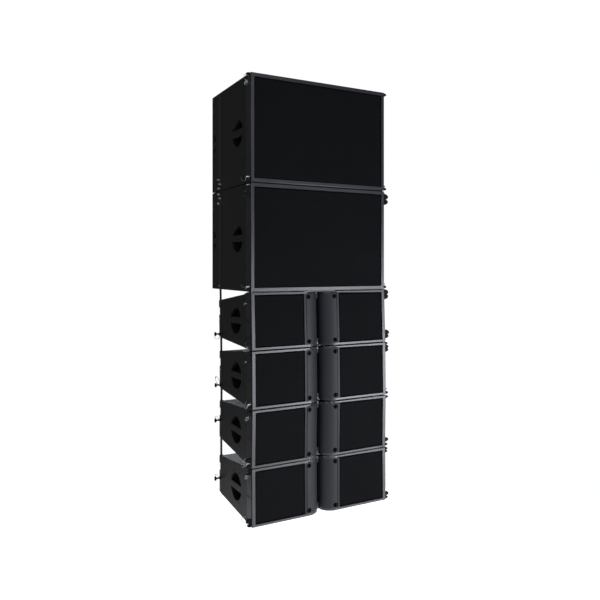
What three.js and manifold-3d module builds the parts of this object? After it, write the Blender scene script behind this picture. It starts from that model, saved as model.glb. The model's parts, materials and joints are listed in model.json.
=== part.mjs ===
// A flown line array: two subwoofers above four full-range modules, hung in one column.
// Millimetres. X is to the right as an audience sees it, Y runs back from the front, +Z is up.
// The origin is the centre of the top subwoofer's top face, where the array is hung.
import * as THREE from "three";
import { mergeVertices } from "three/addons/utils/BufferGeometryUtils.js";
import Module from "manifold-3d";

const wasm = await Module();
wasm.setup();

// Driving dimensions
const WIDTH = 803;
const SUB_HEIGHT = 543;
const SUB_DEPTH = 553;
const MODULE_HEIGHT = 287; // at the front
const MODULE_DEPTH = 450;
const TAPER = THREE.MathUtils.degToRad(5.2); // of the top and of the bottom, towards the rear
const BOX_GAP = 3.5; // between two boxes at the front
const TILTS = [-2.3, -1.0, 1.2, -0.7].map(THREE.MathUtils.degToRad); // of each module, from level
const GAP = 0.3; // between pieces that touch

// Panels
const SIDE_WALL = 18.6;
const SUB_WALL = 19;
const MODULE_WALL = 12;
const HALF = WIDTH / 2;
const INNER = HALF - SIDE_WALL;

// Rigging. A box's own frame has its origin on the hinge pin above its front edge.
const HINGE_INSET = 25; // hinge pin to the front face
const HINGE_RISE = 26; // hinge pin to the bottom edge of the box that holds it
const TOP = -(HINGE_RISE + BOX_GAP);
const FRONT = -HINGE_INSET;
const RAIL = { outer: HALF - 2.5, inner: HALF - 9 }; // the slot in each side that takes the steel
const STEEL = { outer: HALF - 3, inner: HALF - 8.5 }; // a tongue or a link in that slot
const HINGE_PIN_R = 6;
const LINK_PIN_R = 4;
const PIN_PLAY = 0.5;
const TONGUE_R = 12;
const LINK_Y = 411; // rear links and their pins, behind the hinge pin
const LINK_R = 10;
const LINK_PIVOT_RISE = 20; // link pivot above the bottom face
const LINK_SLOT_R = 5.6;
const LOCK_AT = [0.5, 0.49, 0.52, 0.6]; // lock pin's height down the rear of each module, 0 to 1
const PIN_PULL_AT = ["pivot", "pivot", "lock", "lock"]; // where each module's quick-release pins sit
const SLOT_TRAVEL = [58, 70, 64, 86]; // slot length of the links above each module

// Handles
const HANDLE_R = 71;
const HANDLE_BAR = 33;
const CUP_WALL = 4;
const CUP_DEPTH = 46;

const MATERIALS = {
  paint: new THREE.MeshStandardMaterial({ color: 0x2c2d31, roughness: 0.75, metalness: 0 }),
  grille: new THREE.MeshStandardMaterial({ color: 0x141517, roughness: 0.6, metalness: 0.4 }),
  horn: new THREE.MeshStandardMaterial({ color: 0x3c3c43, roughness: 0.6, metalness: 0 }),
  driver: new THREE.MeshStandardMaterial({ color: 0x1a1a1c, roughness: 0.5, metalness: 0.5 }),
  cone: new THREE.MeshStandardMaterial({ color: 0x0e0e0f, roughness: 0.9, metalness: 0 }),
  panel: new THREE.MeshStandardMaterial({ color: 0x202124, roughness: 0.5, metalness: 0.7 }),
  steel: new THREE.MeshStandardMaterial({ color: 0x1b1c1e, roughness: 0.45, metalness: 0.8 }),
  pin: new THREE.MeshStandardMaterial({ color: 0x9a9da2, roughness: 0.3, metalness: 1 }),
};

// ---- Solids ----------------------------------------------------------------------------------

function solidOf(geometry) {
  geometry.deleteAttribute("normal");
  geometry.deleteAttribute("uv");
  const merged = mergeVertices(geometry, 1e-4);
  const { array } = merged.index;
  const corners = [];
  for (let i = 0; i < array.length; i += 3) {
    const [a, b, c] = array.slice(i, i + 3);
    if (a !== b && b !== c && c !== a) corners.push(a, b, c); // a turned shape has none at its poles
  }
  return new wasm.Manifold(
    new wasm.Mesh({
      numProp: 3,
      vertProperties: merged.attributes.position.array,
      triVerts: new Uint32Array(corners),
    }),
  );
}

function geometryOf(solid) {
  const mesh = solid.getMesh();
  const geometry = new THREE.BufferGeometry();
  geometry.setAttribute("position", new THREE.BufferAttribute(mesh.vertProperties, 3));
  geometry.setIndex(new THREE.BufferAttribute(mesh.triVerts, 1));
  geometry.computeVertexNormals();
  return geometry;
}

function block([x0, x1], [y0, y1], [z0, z1]) {
  const geometry = new THREE.BoxGeometry(x1 - x0, y1 - y0, z1 - z0);
  geometry.translate((x0 + x1) / 2, (y0 + y1) / 2, (z0 + z1) / 2);
  return solidOf(geometry);
}

function rodX(radius, [x0, x1], y, z, sides = 14) {
  const geometry = new THREE.CylinderGeometry(radius, radius, x1 - x0, sides);
  geometry.rotateZ(Math.PI / 2);
  geometry.translate((x0 + x1) / 2, y, z);
  return solidOf(geometry);
}

function rodY(radius, x, [y0, y1], z, sides = 14) {
  const geometry = new THREE.CylinderGeometry(radius, radius, y1 - y0, sides);
  geometry.translate(x, (y0 + y1) / 2, z);
  return solidOf(geometry);
}

// A side view, given as [y, z] points or a Shape, extruded across the box.
function acrossX(outline, [x0, x1], curveSegments = 6) {
  const shape = Array.isArray(outline)
    ? new THREE.Shape(outline.map(([y, z]) => new THREE.Vector2(y, z)))
    : outline;
  const geometry = new THREE.ExtrudeGeometry(shape, {
    depth: x1 - x0,
    bevelEnabled: false,
    curveSegments,
  });
  const toBox = new THREE.Matrix4().makeBasis(
    new THREE.Vector3(0, 1, 0),
    new THREE.Vector3(0, 0, 1),
    new THREE.Vector3(1, 0, 0),
  );
  geometry.applyMatrix4(toBox);
  geometry.translate(x0, 0, 0);
  return solidOf(geometry);
}

// A plan view, given as [x, y] points, extruded upwards.
function upwards(outline, [z0, z1]) {
  const shape = new THREE.Shape(outline.map(([x, y]) => new THREE.Vector2(x, y)));
  const geometry = new THREE.ExtrudeGeometry(shape, { depth: z1 - z0, bevelEnabled: false });
  geometry.translate(0, 0, z0);
  return solidOf(geometry);
}

// A profile of [radius, y] points turned about a line along Y through (x, z).
function turnedY(profile, x, z, segments) {
  const points = profile.map(([r, y]) => new THREE.Vector2(r, y));
  const geometry = new THREE.LatheGeometry(points, segments);
  geometry.translate(x, 0, z);
  return solidOf(geometry);
}

function named(name, geometry, material) {
  const mesh = new THREE.Mesh(geometry, material);
  mesh.name = name;
  return mesh;
}

const joined = (first, ...others) => others.reduce((sum, solid) => sum.add(solid), first);
const less = (first, ...others) => others.reduce((rest, solid) => rest.subtract(solid), first);
const bothSides = (make) => [-1, 1].map(make);
const across = (side, x0, x1) => (side > 0 ? [x0, x1] : [-x1, -x0]);

// ---- The shape of a box: its top, bottom and inner space ----------------------------------------

const slope = Math.tan(TAPER);

function boxShape({ height, depth, taper, wall }) {
  const bottom = TOP - height;
  const fall = taper ? slope : 0;
  return {
    height,
    depth,
    wall,
    bottom,
    middle: (TOP + bottom) / 2,
    rear: FRONT + depth,
    topAt: (y) => TOP - (y - FRONT) * fall,
    bottomAt: (y) => bottom + (y - FRONT) * fall,
  };
}

// The space between y0 and y1, an inset below the top face and above the bottom face.
function slice(shape, inset, [y0, y1], xs) {
  return acrossX(
    [
      [y0, shape.bottomAt(y0) + inset],
      [y1, shape.bottomAt(y1) + inset],
      [y1, shape.topAt(y1) - inset],
      [y0, shape.topAt(y0) - inset],
    ],
    xs,
  );
}

const SUB = boxShape({ height: SUB_HEIGHT, depth: SUB_DEPTH, taper: false, wall: SUB_WALL });
const MODULE = boxShape({
  height: MODULE_HEIGHT,
  depth: MODULE_DEPTH,
  taper: true,
  wall: MODULE_WALL,
});

const hingeBelow = (shape) => shape.bottom + HINGE_RISE;
const linkPivot = (shape) => shape.bottomAt(LINK_Y) + LINK_PIVOT_RISE;

function lockHeight(index) {
  const top = MODULE.topAt(LINK_Y);
  return top + (MODULE.bottomAt(LINK_Y) - top) * LOCK_AT[index];
}

// ---- Rigging in the sides of a box ---------------------------------------------------------------

// The pocket in the bottom of each side for the tongue of the box below, with its hinge pin.
function addHingePocket(cabinet, shape) {
  const pinZ = hingeBelow(shape);
  const pocketHalf = TONGUE_R + 5;
  return bothSides((side) => side).reduce((rest, side) => {
    const pocket = block(
      across(side, RAIL.inner, RAIL.outer),
      [-pocketHalf, pocketHalf],
      [shape.bottom - 1, pinZ + TONGUE_R + 3],
    );
    const pin = rodX(HINGE_PIN_R, across(side, RAIL.inner - 1, RAIL.outer + 1), 0, pinZ, 10);
    return rest.subtract(pocket).add(pin);
  }, cabinet);
}

// The steel tongue that rises from each side into the pocket of the box above.
function addTongues(cabinet) {
  const outline = new THREE.Shape();
  outline.moveTo(-TONGUE_R, TOP - 14);
  outline.lineTo(TONGUE_R, TOP - 14);
  outline.lineTo(TONGUE_R, 0);
  outline.absarc(0, 0, TONGUE_R, 0, Math.PI, false);
  const eye = new THREE.Path();
  eye.absarc(0, 0, HINGE_PIN_R + PIN_PLAY, 0, 2 * Math.PI, true);
  outline.holes.push(eye);
  return joined(
    cabinet,
    ...bothSides((side) => acrossX(outline, across(side, STEEL.inner, STEEL.outer), 6)),
  );
}

// ---- Handles ---------------------------------------------------------------------------------------

// Everything above or below the grip bar of a handle.
function besideBar(z, sign) {
  const far = z + sign * 200;
  const near = z + (sign * HANDLE_BAR) / 2;
  return [Math.min(near, far), Math.max(near, far)];
}

// A round opening through a side with a bar left across it, and a closed cup behind it.
function addSideHandles(cabinet, y, z) {
  const back = INNER - CUP_DEPTH;
  const sides = bothSides((side) => side);
  const cups = sides.map((side) =>
    rodX(HANDLE_R + CUP_WALL, across(side, back - CUP_WALL, INNER + 1), y, z),
  );
  const hollows = sides.map((side) => rodX(HANDLE_R, across(side, back, INNER), y, z));
  const openings = sides.flatMap((side) =>
    [-1, 1].map((sign) =>
      rodX(HANDLE_R, across(side, INNER - 1, HALF + 1), y, z).intersect(
        block(across(side, INNER - 2, HALF + 2), [y - 100, y + 100], besideBar(z, sign)),
      ),
    ),
  );
  return less(joined(cabinet, ...cups), ...hollows, ...openings);
}

// The subwoofers' rear grips: round openings cut off by the rear wall, with a pocket behind the bar.
function addCornerGrips(cabinet, shape) {
  const z = shape.middle;
  const reach = 10; // the round openings are centred this far outside the corner
  const inward = HANDLE_R - reach;
  const sides = bothSides((side) => side);
  const rearInner = shape.rear - SUB_WALL;
  const cups = sides.map((side) =>
    block(
      across(side, HALF - inward - CUP_WALL, INNER + 1),
      [shape.rear - inward - CUP_WALL, rearInner + 1],
      [z - HANDLE_R - CUP_WALL, z + HANDLE_R + CUP_WALL],
    ),
  );
  const hollows = sides.map((side) =>
    block(
      across(side, HALF - inward, INNER),
      [shape.rear - inward, rearInner],
      [z - HANDLE_R, z + HANDLE_R],
    ),
  );
  const openings = sides.flatMap((side) =>
    [-1, 1].map((sign) =>
      rodX(HANDLE_R, across(side, INNER - 1, HALF + 1), shape.rear + reach, z).intersect(
        block(
          across(side, INNER - 2, HALF + 2),
          [shape.rear - inward - 1, rearInner],
          besideBar(z, sign),
        ),
      ),
    ),
  );
  return less(joined(cabinet, ...cups), ...hollows, ...openings);
}

// ---- Subwoofer -------------------------------------------------------------------------------------

const SUB_BAFFLE = { front: FRONT + 40, back: FRONT + 64 };
const SUB_DRIVER = { hole: 212, flange: 231, flangeDepth: 12 };
const PORT = { x: 312, z: 165, radius: 50, wall: 4, length: 150 };
const SUB_PLATE = { x: 105, z: 70, recess: 5 };

function subCabinet({ tongues }) {
  const rearInner = SUB.rear - SUB_WALL;
  let cabinet = less(
    slice(SUB, 0, [FRONT, SUB.rear], [-HALF, HALF]),
    slice(SUB, SUB_WALL, [FRONT - 1, SUB_BAFFLE.front], [-INNER, INNER]),
    slice(SUB, SUB_WALL, [SUB_BAFFLE.back, rearInner], [-INNER, INNER]),
    rodY(SUB_DRIVER.hole, 0, [SUB_BAFFLE.front - 1, SUB_BAFFLE.back + 1], SUB.middle, 20),
    block(
      [-SUB_PLATE.x, SUB_PLATE.x],
      [SUB.rear - SUB_PLATE.recess, SUB.rear + 1],
      [SUB.middle - SUB_PLATE.z, SUB.middle + SUB_PLATE.z],
    ),
    block(
      [15 - SUB_PLATE.x, SUB_PLATE.x - 15],
      [rearInner - 1, SUB.rear],
      [SUB.middle - SUB_PLATE.z + 15, SUB.middle + SUB_PLATE.z - 15],
    ),
  );
  const portEnds = [SUB_BAFFLE.front, SUB_BAFFLE.front + PORT.length];
  for (const sx of [-1, 1])
    for (const sz of [-1, 1]) {
      const x = sx * PORT.x;
      const z = SUB.middle + sz * PORT.z;
      cabinet = cabinet
        .add(rodY(PORT.radius + PORT.wall, x, portEnds, z, 10))
        .subtract(rodY(PORT.radius, x, [portEnds[0] - 1, portEnds[1] + 1], z, 10));
    }
  cabinet = addSideHandles(cabinet, FRONT + 176, SUB.middle);
  cabinet = addCornerGrips(cabinet, SUB);
  cabinet = addHingePocket(cabinet, SUB);
  const pivot = linkPivot(SUB);
  for (const side of [-1, 1]) {
    const slot = across(side, RAIL.inner, RAIL.outer);
    const ys = [LINK_Y - 20, LINK_Y + 20];
    cabinet = cabinet.subtract(block(slot, ys, [SUB.bottom - 1, SUB.bottom + LINK_SHORT + 4]));
    if (tongues) cabinet = cabinet.subtract(block(slot, ys, [TOP - LINK_SHORT - 4, TOP + 1]));
    else
      cabinet = cabinet.subtract(
        block(slot, [-TONGUE_R - 5, TONGUE_R + 5], [TOP - 45, TOP + 1]),
      );
    if (tongues) {
      const pin = across(side, RAIL.inner - 1, RAIL.outer + 1);
      cabinet = cabinet.add(rodX(LINK_PIN_R, pin, LINK_Y, pivot, 8));
    }
  }
  return tongues ? addTongues(cabinet) : cabinet;
}

const LINK_SHORT = 70; // how far a subwoofer link reaches into each box

// The flat steel bar that ties the rears of the two subwoofers together.
function subLink(side) {
  const ends = [-LINK_SHORT, LINK_SHORT + BOX_GAP];
  return block(
    across(side, STEEL.inner, STEEL.outer),
    [LINK_Y - LINK_R, LINK_Y + LINK_R],
    [SUB.bottom - BOX_GAP + ends[0], SUB.bottom + ends[1] - BOX_GAP],
  );
}

// A steel grille folded into a shallow pan.
function grillePan(shape, [x0, x1]) {
  const [front, back] = [FRONT + 2, FRONT + 16];
  const inset = shape.wall + GAP;
  return less(
    slice(shape, inset, [front, back], [x0 + GAP, x1 - GAP]),
    slice(shape, inset + 2, [front + 2, back + 1], [x0 + GAP + 2, x1 - GAP - 2]),
  );
}

function subWooferFrame() {
  const seat = SUB_BAFFLE.front - GAP;
  const { hole, flange, flangeDepth } = SUB_DRIVER;
  const profile = [
    [0, seat + 96],
    [60, seat + 96],
    [62, seat + 70],
    [198, seat - 2],
    [198, seat - flangeDepth],
    [flange, seat - flangeDepth],
    [flange, seat],
    [hole - 4, seat],
    [hole - 6, seat + 30],
    [120, seat + 110],
    [125, seat + 112],
    [125, seat + 200],
    [0, seat + 200],
  ];
  return turnedY(profile, 0, SUB.middle, 20);
}

// Paper cone with its dust cap and rubber surround: the piece that moves.
function subWooferCone() {
  const seat = SUB_BAFFLE.front - GAP;
  const profile = [
    [0, seat + 32],
    [30, seat + 34],
    [60, seat + 40],
    [170, seat - 14],
    [182, seat - 11],
    [182, seat - 8],
    [172, seat - 8],
    [58, seat + 58],
    [0, seat + 52],
  ];
  return turnedY(profile, 0, SUB.middle, 20);
}

// Connection plate with two round sockets and the tray behind it.
function socketPlate({ x, z, middle, face, tray, trayDepth }) {
  const sockets = [-38, 38].map((sx) => rodY(15, sx, [face + 1, face + 11], middle, 10));
  return joined(
    block([-x, x], [face, face + 3], [middle - z, middle + z]),
    block([-tray[0], tray[0]], [face - trayDepth, face + 1], [middle - tray[1], middle + tray[1]]),
    ...sockets,
  );
}

// ---- Full-range module -------------------------------------------------------------------------------

const BAFFLE = { front: FRONT + 30, back: FRONT + 45 };
const TRIM = { outer: 104.5, inner: 91.5 }; // strip between a grille and the flare
const FLARE_DEPTH = 55;
const SLOT_HALF = 8.5;
const WOOFER_X = (INNER + TRIM.outer) / 2;
const WOOFER = { hole: 112, flange: 121, flangeDepth: 8 };
const REAR_RECESS = 20;
const REAR_WALL = 15;
const REAR_PLATE = { x: 165, z: 62 };

// Plan points of one flare, from its trim strip back to the slot, moved back by an offset.
function flarePoints(side, offset = 0, steps = 7) {
  return Array.from({ length: steps + 1 }, (_, i) => {
    const t = (i / steps) * (Math.PI / 2);
    const x = TRIM.inner - (TRIM.inner - SLOT_HALF - offset) * Math.sin(t);
    return [side * x, FRONT + offset + FLARE_DEPTH * (1 - Math.cos(t))];
  });
}

function moduleProfile() {
  const { rear } = MODULE;
  const top = MODULE.topAt(rear);
  const notch = { depth: 17, start: 40, end: 82, chamfer: 9 };
  const corner = 18;
  return [
    [FRONT, MODULE.bottom],
    [rear - corner, MODULE.bottomAt(rear - corner)],
    [rear, MODULE.bottomAt(rear) + corner * 1.4],
    [rear, top - notch.end],
    [rear - notch.depth, top - notch.end + notch.chamfer],
    [rear - notch.depth, top - notch.start - notch.chamfer],
    [rear, top - notch.start],
    [rear, top],
    [FRONT, TOP],
  ];
}

function moduleCabinet(index) {
  const rearFace = MODULE.rear - REAR_RECESS;
  const flareCut = [
    ...flarePoints(-1),
    ...flarePoints(1).reverse(),
    [TRIM.inner, FRONT - 5],
    [-TRIM.inner, FRONT - 5],
  ];
  let cabinet = less(
    acrossX(moduleProfile(), [-HALF, HALF]),
    block([-INNER, INNER], [rearFace, MODULE.rear + 1], [MODULE.bottom, TOP]),
    slice(MODULE, MODULE_WALL, [FRONT - 1, BAFFLE.front], [-INNER, INNER]),
    slice(MODULE, MODULE_WALL, [BAFFLE.front - 1, BAFFLE.back + 1], [-TRIM.outer, TRIM.outer]),
    slice(MODULE, MODULE_WALL, [BAFFLE.back, rearFace - REAR_WALL], [-INNER, INNER]),
    ...bothSides((side) =>
      rodY(WOOFER.hole, side * WOOFER_X, [BAFFLE.front - 1, BAFFLE.back + 1], MODULE.middle),
    ),
    block(
      [15 - REAR_PLATE.x, REAR_PLATE.x - 15],
      [rearFace - REAR_WALL - 1, rearFace + 1],
      [MODULE.middle - REAR_PLATE.z + 12, MODULE.middle + REAR_PLATE.z - 12],
    ),
    upwards(flareCut, [MODULE.bottom - 1, TOP + 1]),
  );
  cabinet = addSideHandles(cabinet, FRONT + 207, MODULE.middle);
  cabinet = addHingePocket(cabinet, MODULE);
  const isLast = index === TILTS.length - 1; // nothing hangs from the last one
  const heights = isLast
    ? { lock: lockHeight(index) }
    : { pivot: linkPivot(MODULE), lock: lockHeight(index) };
  for (const side of [-1, 1]) {
    const rail = block(
      across(side, RAIL.inner, RAIL.outer),
      [LINK_Y - 18, MODULE.rear + 1],
      [MODULE.bottom - 1, TOP + 1],
    );
    cabinet = cabinet.subtract(rail);
    for (const [place, z] of Object.entries(heights)) {
      const pulled = place === PIN_PULL_AT[index];
      cabinet = pulled
        ? cabinet.subtract(rodX(LINK_PIN_R + PIN_PLAY, across(side, INNER - 1, HALF + 1), LINK_Y, z, 8))
        : cabinet.add(rodX(LINK_PIN_R, across(side, RAIL.inner - 1, RAIL.outer + 1), LINK_Y, z, 8));
    }
  }
  return addTongues(cabinet);
}

// The moulded horn: two trim strips, two flares and the tall slot between them.
function waveguide() {
  const skin = 7;
  const [plateFront, plateBack] = [FRONT + 71, FRONT + 77];
  const half = (side) => {
    const outline = [
      [side * (TRIM.outer - GAP), FRONT],
      ...flarePoints(side),
      [side * SLOT_HALF, plateBack],
      [side * 45, plateBack],
      [side * 45, plateFront],
      [side * (SLOT_HALF + skin), plateFront],
      ...flarePoints(side, skin).reverse(),
      [side * (TRIM.outer - skin), FRONT + skin],
      [side * (TRIM.outer - skin), BAFFLE.back],
      [side * (TRIM.outer - GAP), BAFFLE.back],
    ];
    return upwards(outline, [MODULE.bottom, TOP]);
  };
  const slotHalfHeight = 106;
  const bridges = [-1, 1].map((sign) => {
    const near = MODULE.middle + sign * slotHalfHeight;
    const far = MODULE.middle + sign * (MODULE_HEIGHT / 2);
    const zs = [Math.min(near, far), Math.max(near, far)];
    return block([-SLOT_HALF - 1, SLOT_HALF + 1], [FRONT + FLARE_DEPTH - 1, plateBack], zs);
  });
  const space = slice(MODULE, MODULE_WALL + GAP, [FRONT, plateBack + 5], [-INNER, INNER]);
  return joined(half(-1), half(1), ...bridges).intersect(space);
}

function woofer(side) {
  const seat = BAFFLE.front - GAP;
  const { hole, flange, flangeDepth } = WOOFER;
  const profile = [
    [0, seat + 18],
    [34, seat + 28],
    [88, seat - flangeDepth],
    [106, seat - flangeDepth],
    [flange, seat - flangeDepth],
    [flange, seat],
    [hole - 4, seat],
    [60, seat + 72],
    [72, seat + 74],
    [72, seat + 112],
    [0, seat + 112],
  ];
  return turnedY(profile, side * WOOFER_X, MODULE.middle, 12);
}

function hfDriver() {
  const seat = FRONT + 77 + GAP;
  const z = MODULE.middle;
  return joined(
    block([-42, 42], [seat, seat + 7], [z - 112, z + 112]),
    block([-24, 24], [seat + 6, seat + 52], [z - 98, z + 98]),
    block([-32, 32], [seat + 50, seat + 72], [z - 62, z + 62]),
    rodY(66, 0, [seat + 70, seat + 124], z, 16),
  );
}

// A rear link: a flat bar with an eye on the pivot pin and a slot that runs on the lock pin.
// It is drawn hanging straight down from its pivot, with the lock pin at the slot's low end.
function rearLink(side, length, travel) {
  const outline = new THREE.Shape();
  outline.absarc(0, 0, LINK_R, 0, Math.PI, false);
  outline.absarc(0, -length - 1, LINK_R, Math.PI, 2 * Math.PI, false);
  const eye = new THREE.Path();
  eye.absarc(0, 0, LINK_PIN_R + PIN_PLAY, 0, 2 * Math.PI, true);
  const slot = new THREE.Path();
  slot.absarc(0, -length - 1, LINK_SLOT_R, 2 * Math.PI, Math.PI, true);
  slot.absarc(0, travel - length, LINK_SLOT_R, Math.PI, 0, true);
  outline.holes.push(eye, slot);
  return acrossX(outline, across(side, STEEL.inner, STEEL.outer), 4);
}

// A quick-release pin: shaft, collar against the side, and a cross handle to pull it by.
function quickPin(side) {
  const outside = HALF + GAP;
  return joined(
    rodX(LINK_PIN_R, across(side, HALF - 15, HALF + 26), 0, 0, 8),
    rodX(7.5, across(side, outside, outside + 6), 0, 0, 8),
    block(across(side, HALF + 23, HALF + 34), [-6, 6], [-11, 11]),
  );
}

// ---- Assembly --------------------------------------------------------------------------------------

const array = new THREE.Group();

const subs = [1, 2].map((number) => {
  const sub = new THREE.Group();
  const name = `sub_${number}`;
  const add = (piece, solid, material) =>
    sub.add(named(`${name}_${piece}`, geometryOf(solid), material));
  add("cabinet", subCabinet({ tongues: number > 1 }), MATERIALS.paint);
  add("grille", grillePan(SUB, [-INNER, INNER]), MATERIALS.grille);
  add("woofer_frame", subWooferFrame(), MATERIALS.driver);
  add("woofer_cone", subWooferCone(), MATERIALS.cone);
  const plate = socketPlate({
    x: SUB_PLATE.x - 2,
    z: SUB_PLATE.z - 2,
    middle: SUB.middle,
    face: SUB.rear - SUB_PLATE.recess + GAP,
    tray: [SUB_PLATE.x - 20, SUB_PLATE.z - 20],
    trayDepth: 45,
  });
  add("rear_panel", plate, MATERIALS.panel);
  return sub;
});
const [topSub, lowerSub] = subs;
topSub.position.set(0, HINGE_INSET - SUB_DEPTH / 2, -TOP);
lowerSub.position.set(0, 0, hingeBelow(SUB));
array.add(topSub);
topSub.add(lowerSub);
for (const [label, side] of [["left", -1], ["right", 1]])
  topSub.add(named(`sub_link_${label}`, geometryOf(subLink(side)), MATERIALS.steel));

let above = { group: lowerSub, shape: SUB, tilt: 0 };
TILTS.forEach((tilt, index) => {
  const name = `module_${index + 1}`;
  const module = new THREE.Group();
  const add = (piece, solid, material) => {
    const mesh = named(`${name}_${piece}`, geometryOf(solid), material);
    module.add(mesh);
    return mesh;
  };
  add("cabinet", moduleCabinet(index), MATERIALS.paint);
  add("grille_left", grillePan(MODULE, [-INNER, -TRIM.outer]), MATERIALS.grille);
  add("grille_right", grillePan(MODULE, [TRIM.outer, INNER]), MATERIALS.grille);
  add("waveguide", waveguide(), MATERIALS.horn);
  add("woofer_left", woofer(-1), MATERIALS.driver);
  add("woofer_right", woofer(1), MATERIALS.driver);
  add("hf_driver", hfDriver(), MATERIALS.driver);
  const plate = socketPlate({
    ...REAR_PLATE,
    middle: MODULE.middle,
    face: MODULE.rear - REAR_RECESS + GAP,
    tray: [REAR_PLATE.x - 20, REAR_PLATE.z - 18],
    trayDepth: 40,
  });
  add("rear_panel", plate, MATERIALS.panel);

  const splay = tilt - above.tilt;
  module.position.set(0, 0, hingeBelow(above.shape));
  module.rotation.x = splay;
  above.group.add(module);

  const pinHeight = { pivot: linkPivot(MODULE), lock: lockHeight(index) }[PIN_PULL_AT[index]];
  const lock = new THREE.Vector3(0, LINK_Y, lockHeight(index))
    .applyAxisAngle(new THREE.Vector3(1, 0, 0), splay)
    .add(module.position);
  const pivot = new THREE.Vector3(0, LINK_Y, linkPivot(above.shape));
  const run = lock.clone().sub(pivot);
  for (const [label, side] of [["left", -1], ["right", 1]]) {
    add(`pin_${label}`, quickPin(side), MATERIALS.pin).position.set(0, LINK_Y, pinHeight);
    const bar = rearLink(side, run.length(), SLOT_TRAVEL[index]);
    const link = named(`${name}_link_${label}`, geometryOf(bar), MATERIALS.steel);
    link.position.copy(pivot);
    link.rotation.x = Math.atan2(run.y, -run.z);
    above.group.add(link);
  }
  above = { group: module, shape: MODULE, tilt };
});

export default array;
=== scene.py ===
import json
import math

import bpy
from mathutils import Matrix, Vector


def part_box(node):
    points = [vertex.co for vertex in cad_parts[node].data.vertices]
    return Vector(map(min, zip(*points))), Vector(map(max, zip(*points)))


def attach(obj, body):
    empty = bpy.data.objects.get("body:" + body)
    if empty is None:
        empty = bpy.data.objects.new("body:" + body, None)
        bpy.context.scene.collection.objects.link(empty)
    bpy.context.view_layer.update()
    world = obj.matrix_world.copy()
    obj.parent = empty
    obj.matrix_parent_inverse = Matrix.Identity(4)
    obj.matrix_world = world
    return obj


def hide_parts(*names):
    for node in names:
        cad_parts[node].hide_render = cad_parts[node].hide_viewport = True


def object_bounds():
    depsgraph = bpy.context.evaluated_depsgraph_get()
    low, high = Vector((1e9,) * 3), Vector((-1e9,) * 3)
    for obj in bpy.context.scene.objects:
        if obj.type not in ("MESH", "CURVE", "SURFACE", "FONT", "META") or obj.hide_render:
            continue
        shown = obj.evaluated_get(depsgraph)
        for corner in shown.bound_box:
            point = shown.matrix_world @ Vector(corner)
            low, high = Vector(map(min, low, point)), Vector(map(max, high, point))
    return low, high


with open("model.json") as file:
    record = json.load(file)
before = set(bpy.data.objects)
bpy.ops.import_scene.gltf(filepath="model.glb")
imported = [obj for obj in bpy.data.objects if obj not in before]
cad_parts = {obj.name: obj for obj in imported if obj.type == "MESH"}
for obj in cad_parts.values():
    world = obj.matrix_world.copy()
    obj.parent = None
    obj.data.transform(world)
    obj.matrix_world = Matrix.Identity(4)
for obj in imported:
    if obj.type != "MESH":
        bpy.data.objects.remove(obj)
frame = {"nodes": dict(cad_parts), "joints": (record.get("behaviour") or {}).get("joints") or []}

cad_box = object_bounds()

# ---- Camera, floor and light ---------------------------------------------------------------------
# The array hangs in a bright studio, seen from its left front at about the height of the lowest
# subwoofer. A pale floor glows below it, and the light comes softly from the right front.

bpy.context.scene.view_settings.view_transform = "Standard"
bpy.ops.object.camera_add(
    location=(-1.6346, -3.1176, -0.9590),
    rotation=(math.radians(90), 0, math.radians(-27.957)),
)
camera = bpy.context.object
camera.data.lens = 37.5
camera.data.sensor_width = 36
camera.data.shift_y = -0.0572
bpy.context.scene.camera = camera


def soft_light(name, place, target, size, watts):
    """A square studio softbox at a place, turned towards a target."""
    aim = (Vector(target) - Vector(place)).to_track_quat("-Z", "Y").to_euler()
    bpy.ops.object.light_add(type="AREA", location=place, rotation=aim)
    lamp = bpy.context.object
    lamp.name = name
    lamp.data.size = size
    lamp.data.energy = watts
    lamp.data.color = (0.89, 0.94, 1.0)
    lamp.visible_camera = False


soft_light("key", (1.9, -3.3, -1.95), (0.1, -0.2, -1.5), 1.7, 88)
soft_light("fill", (-3.4, -3.6, 0.4), (0, -0.1, -1.1), 2.5, 15)
soft_light("front", (-0.4, -4.2, 1.1), (0, 0, -0.4), 1.6, 36)
soft_light("top", (0.4, 1.2, 2.6), (0, 0, -1.0), 2.5, 14)
soft_light("behind", (2.0, 4.0, -2.5), (0, 0.3, -1.1), 2.4, 95)

studio = bpy.data.worlds.new("studio")
bpy.context.scene.world = studio
studio.use_nodes = True
studio.node_tree.nodes.clear()


class Wire:
    """A socket of a node, so that shader maths is written as plain arithmetic."""

    def __init__(self, finish, socket):
        self.finish = finish
        self.socket = socket

    def maths(self, operation, *values):
        sockets = dict(enumerate(values))
        return self.finish.node("ShaderNodeMath", {"operation": operation}, sockets)

    def __add__(self, other):
        return self.maths("ADD", self, other)

    def __sub__(self, other):
        return self.maths("SUBTRACT", self, other)

    def __rsub__(self, other):
        return self.maths("SUBTRACT", other, self)

    def __mul__(self, other):
        return self.maths("MULTIPLY", self, other)

    def __truediv__(self, other):
        return self.maths("DIVIDE", self, other)

    def __pow__(self, other):
        return self.maths("POWER", self, other)

    __radd__ = __add__
    __rmul__ = __mul__

    def fraction(self):
        return self.maths("FRACT", self)

    def least(self, other):
        return self.maths("MINIMUM", self, other)

    def clamp(self):
        return self.finish.node("ShaderNodeClamp", {}, {"Value": self})

    def rise(self, low, high):
        """0 below low, 1 above high and smooth between them."""
        return self.finish.node(
            "ShaderNodeMapRange",
            {"interpolation_type": "SMOOTHSTEP"},
            {"Value": self, "From Min": low, "From Max": high},
        )


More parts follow.
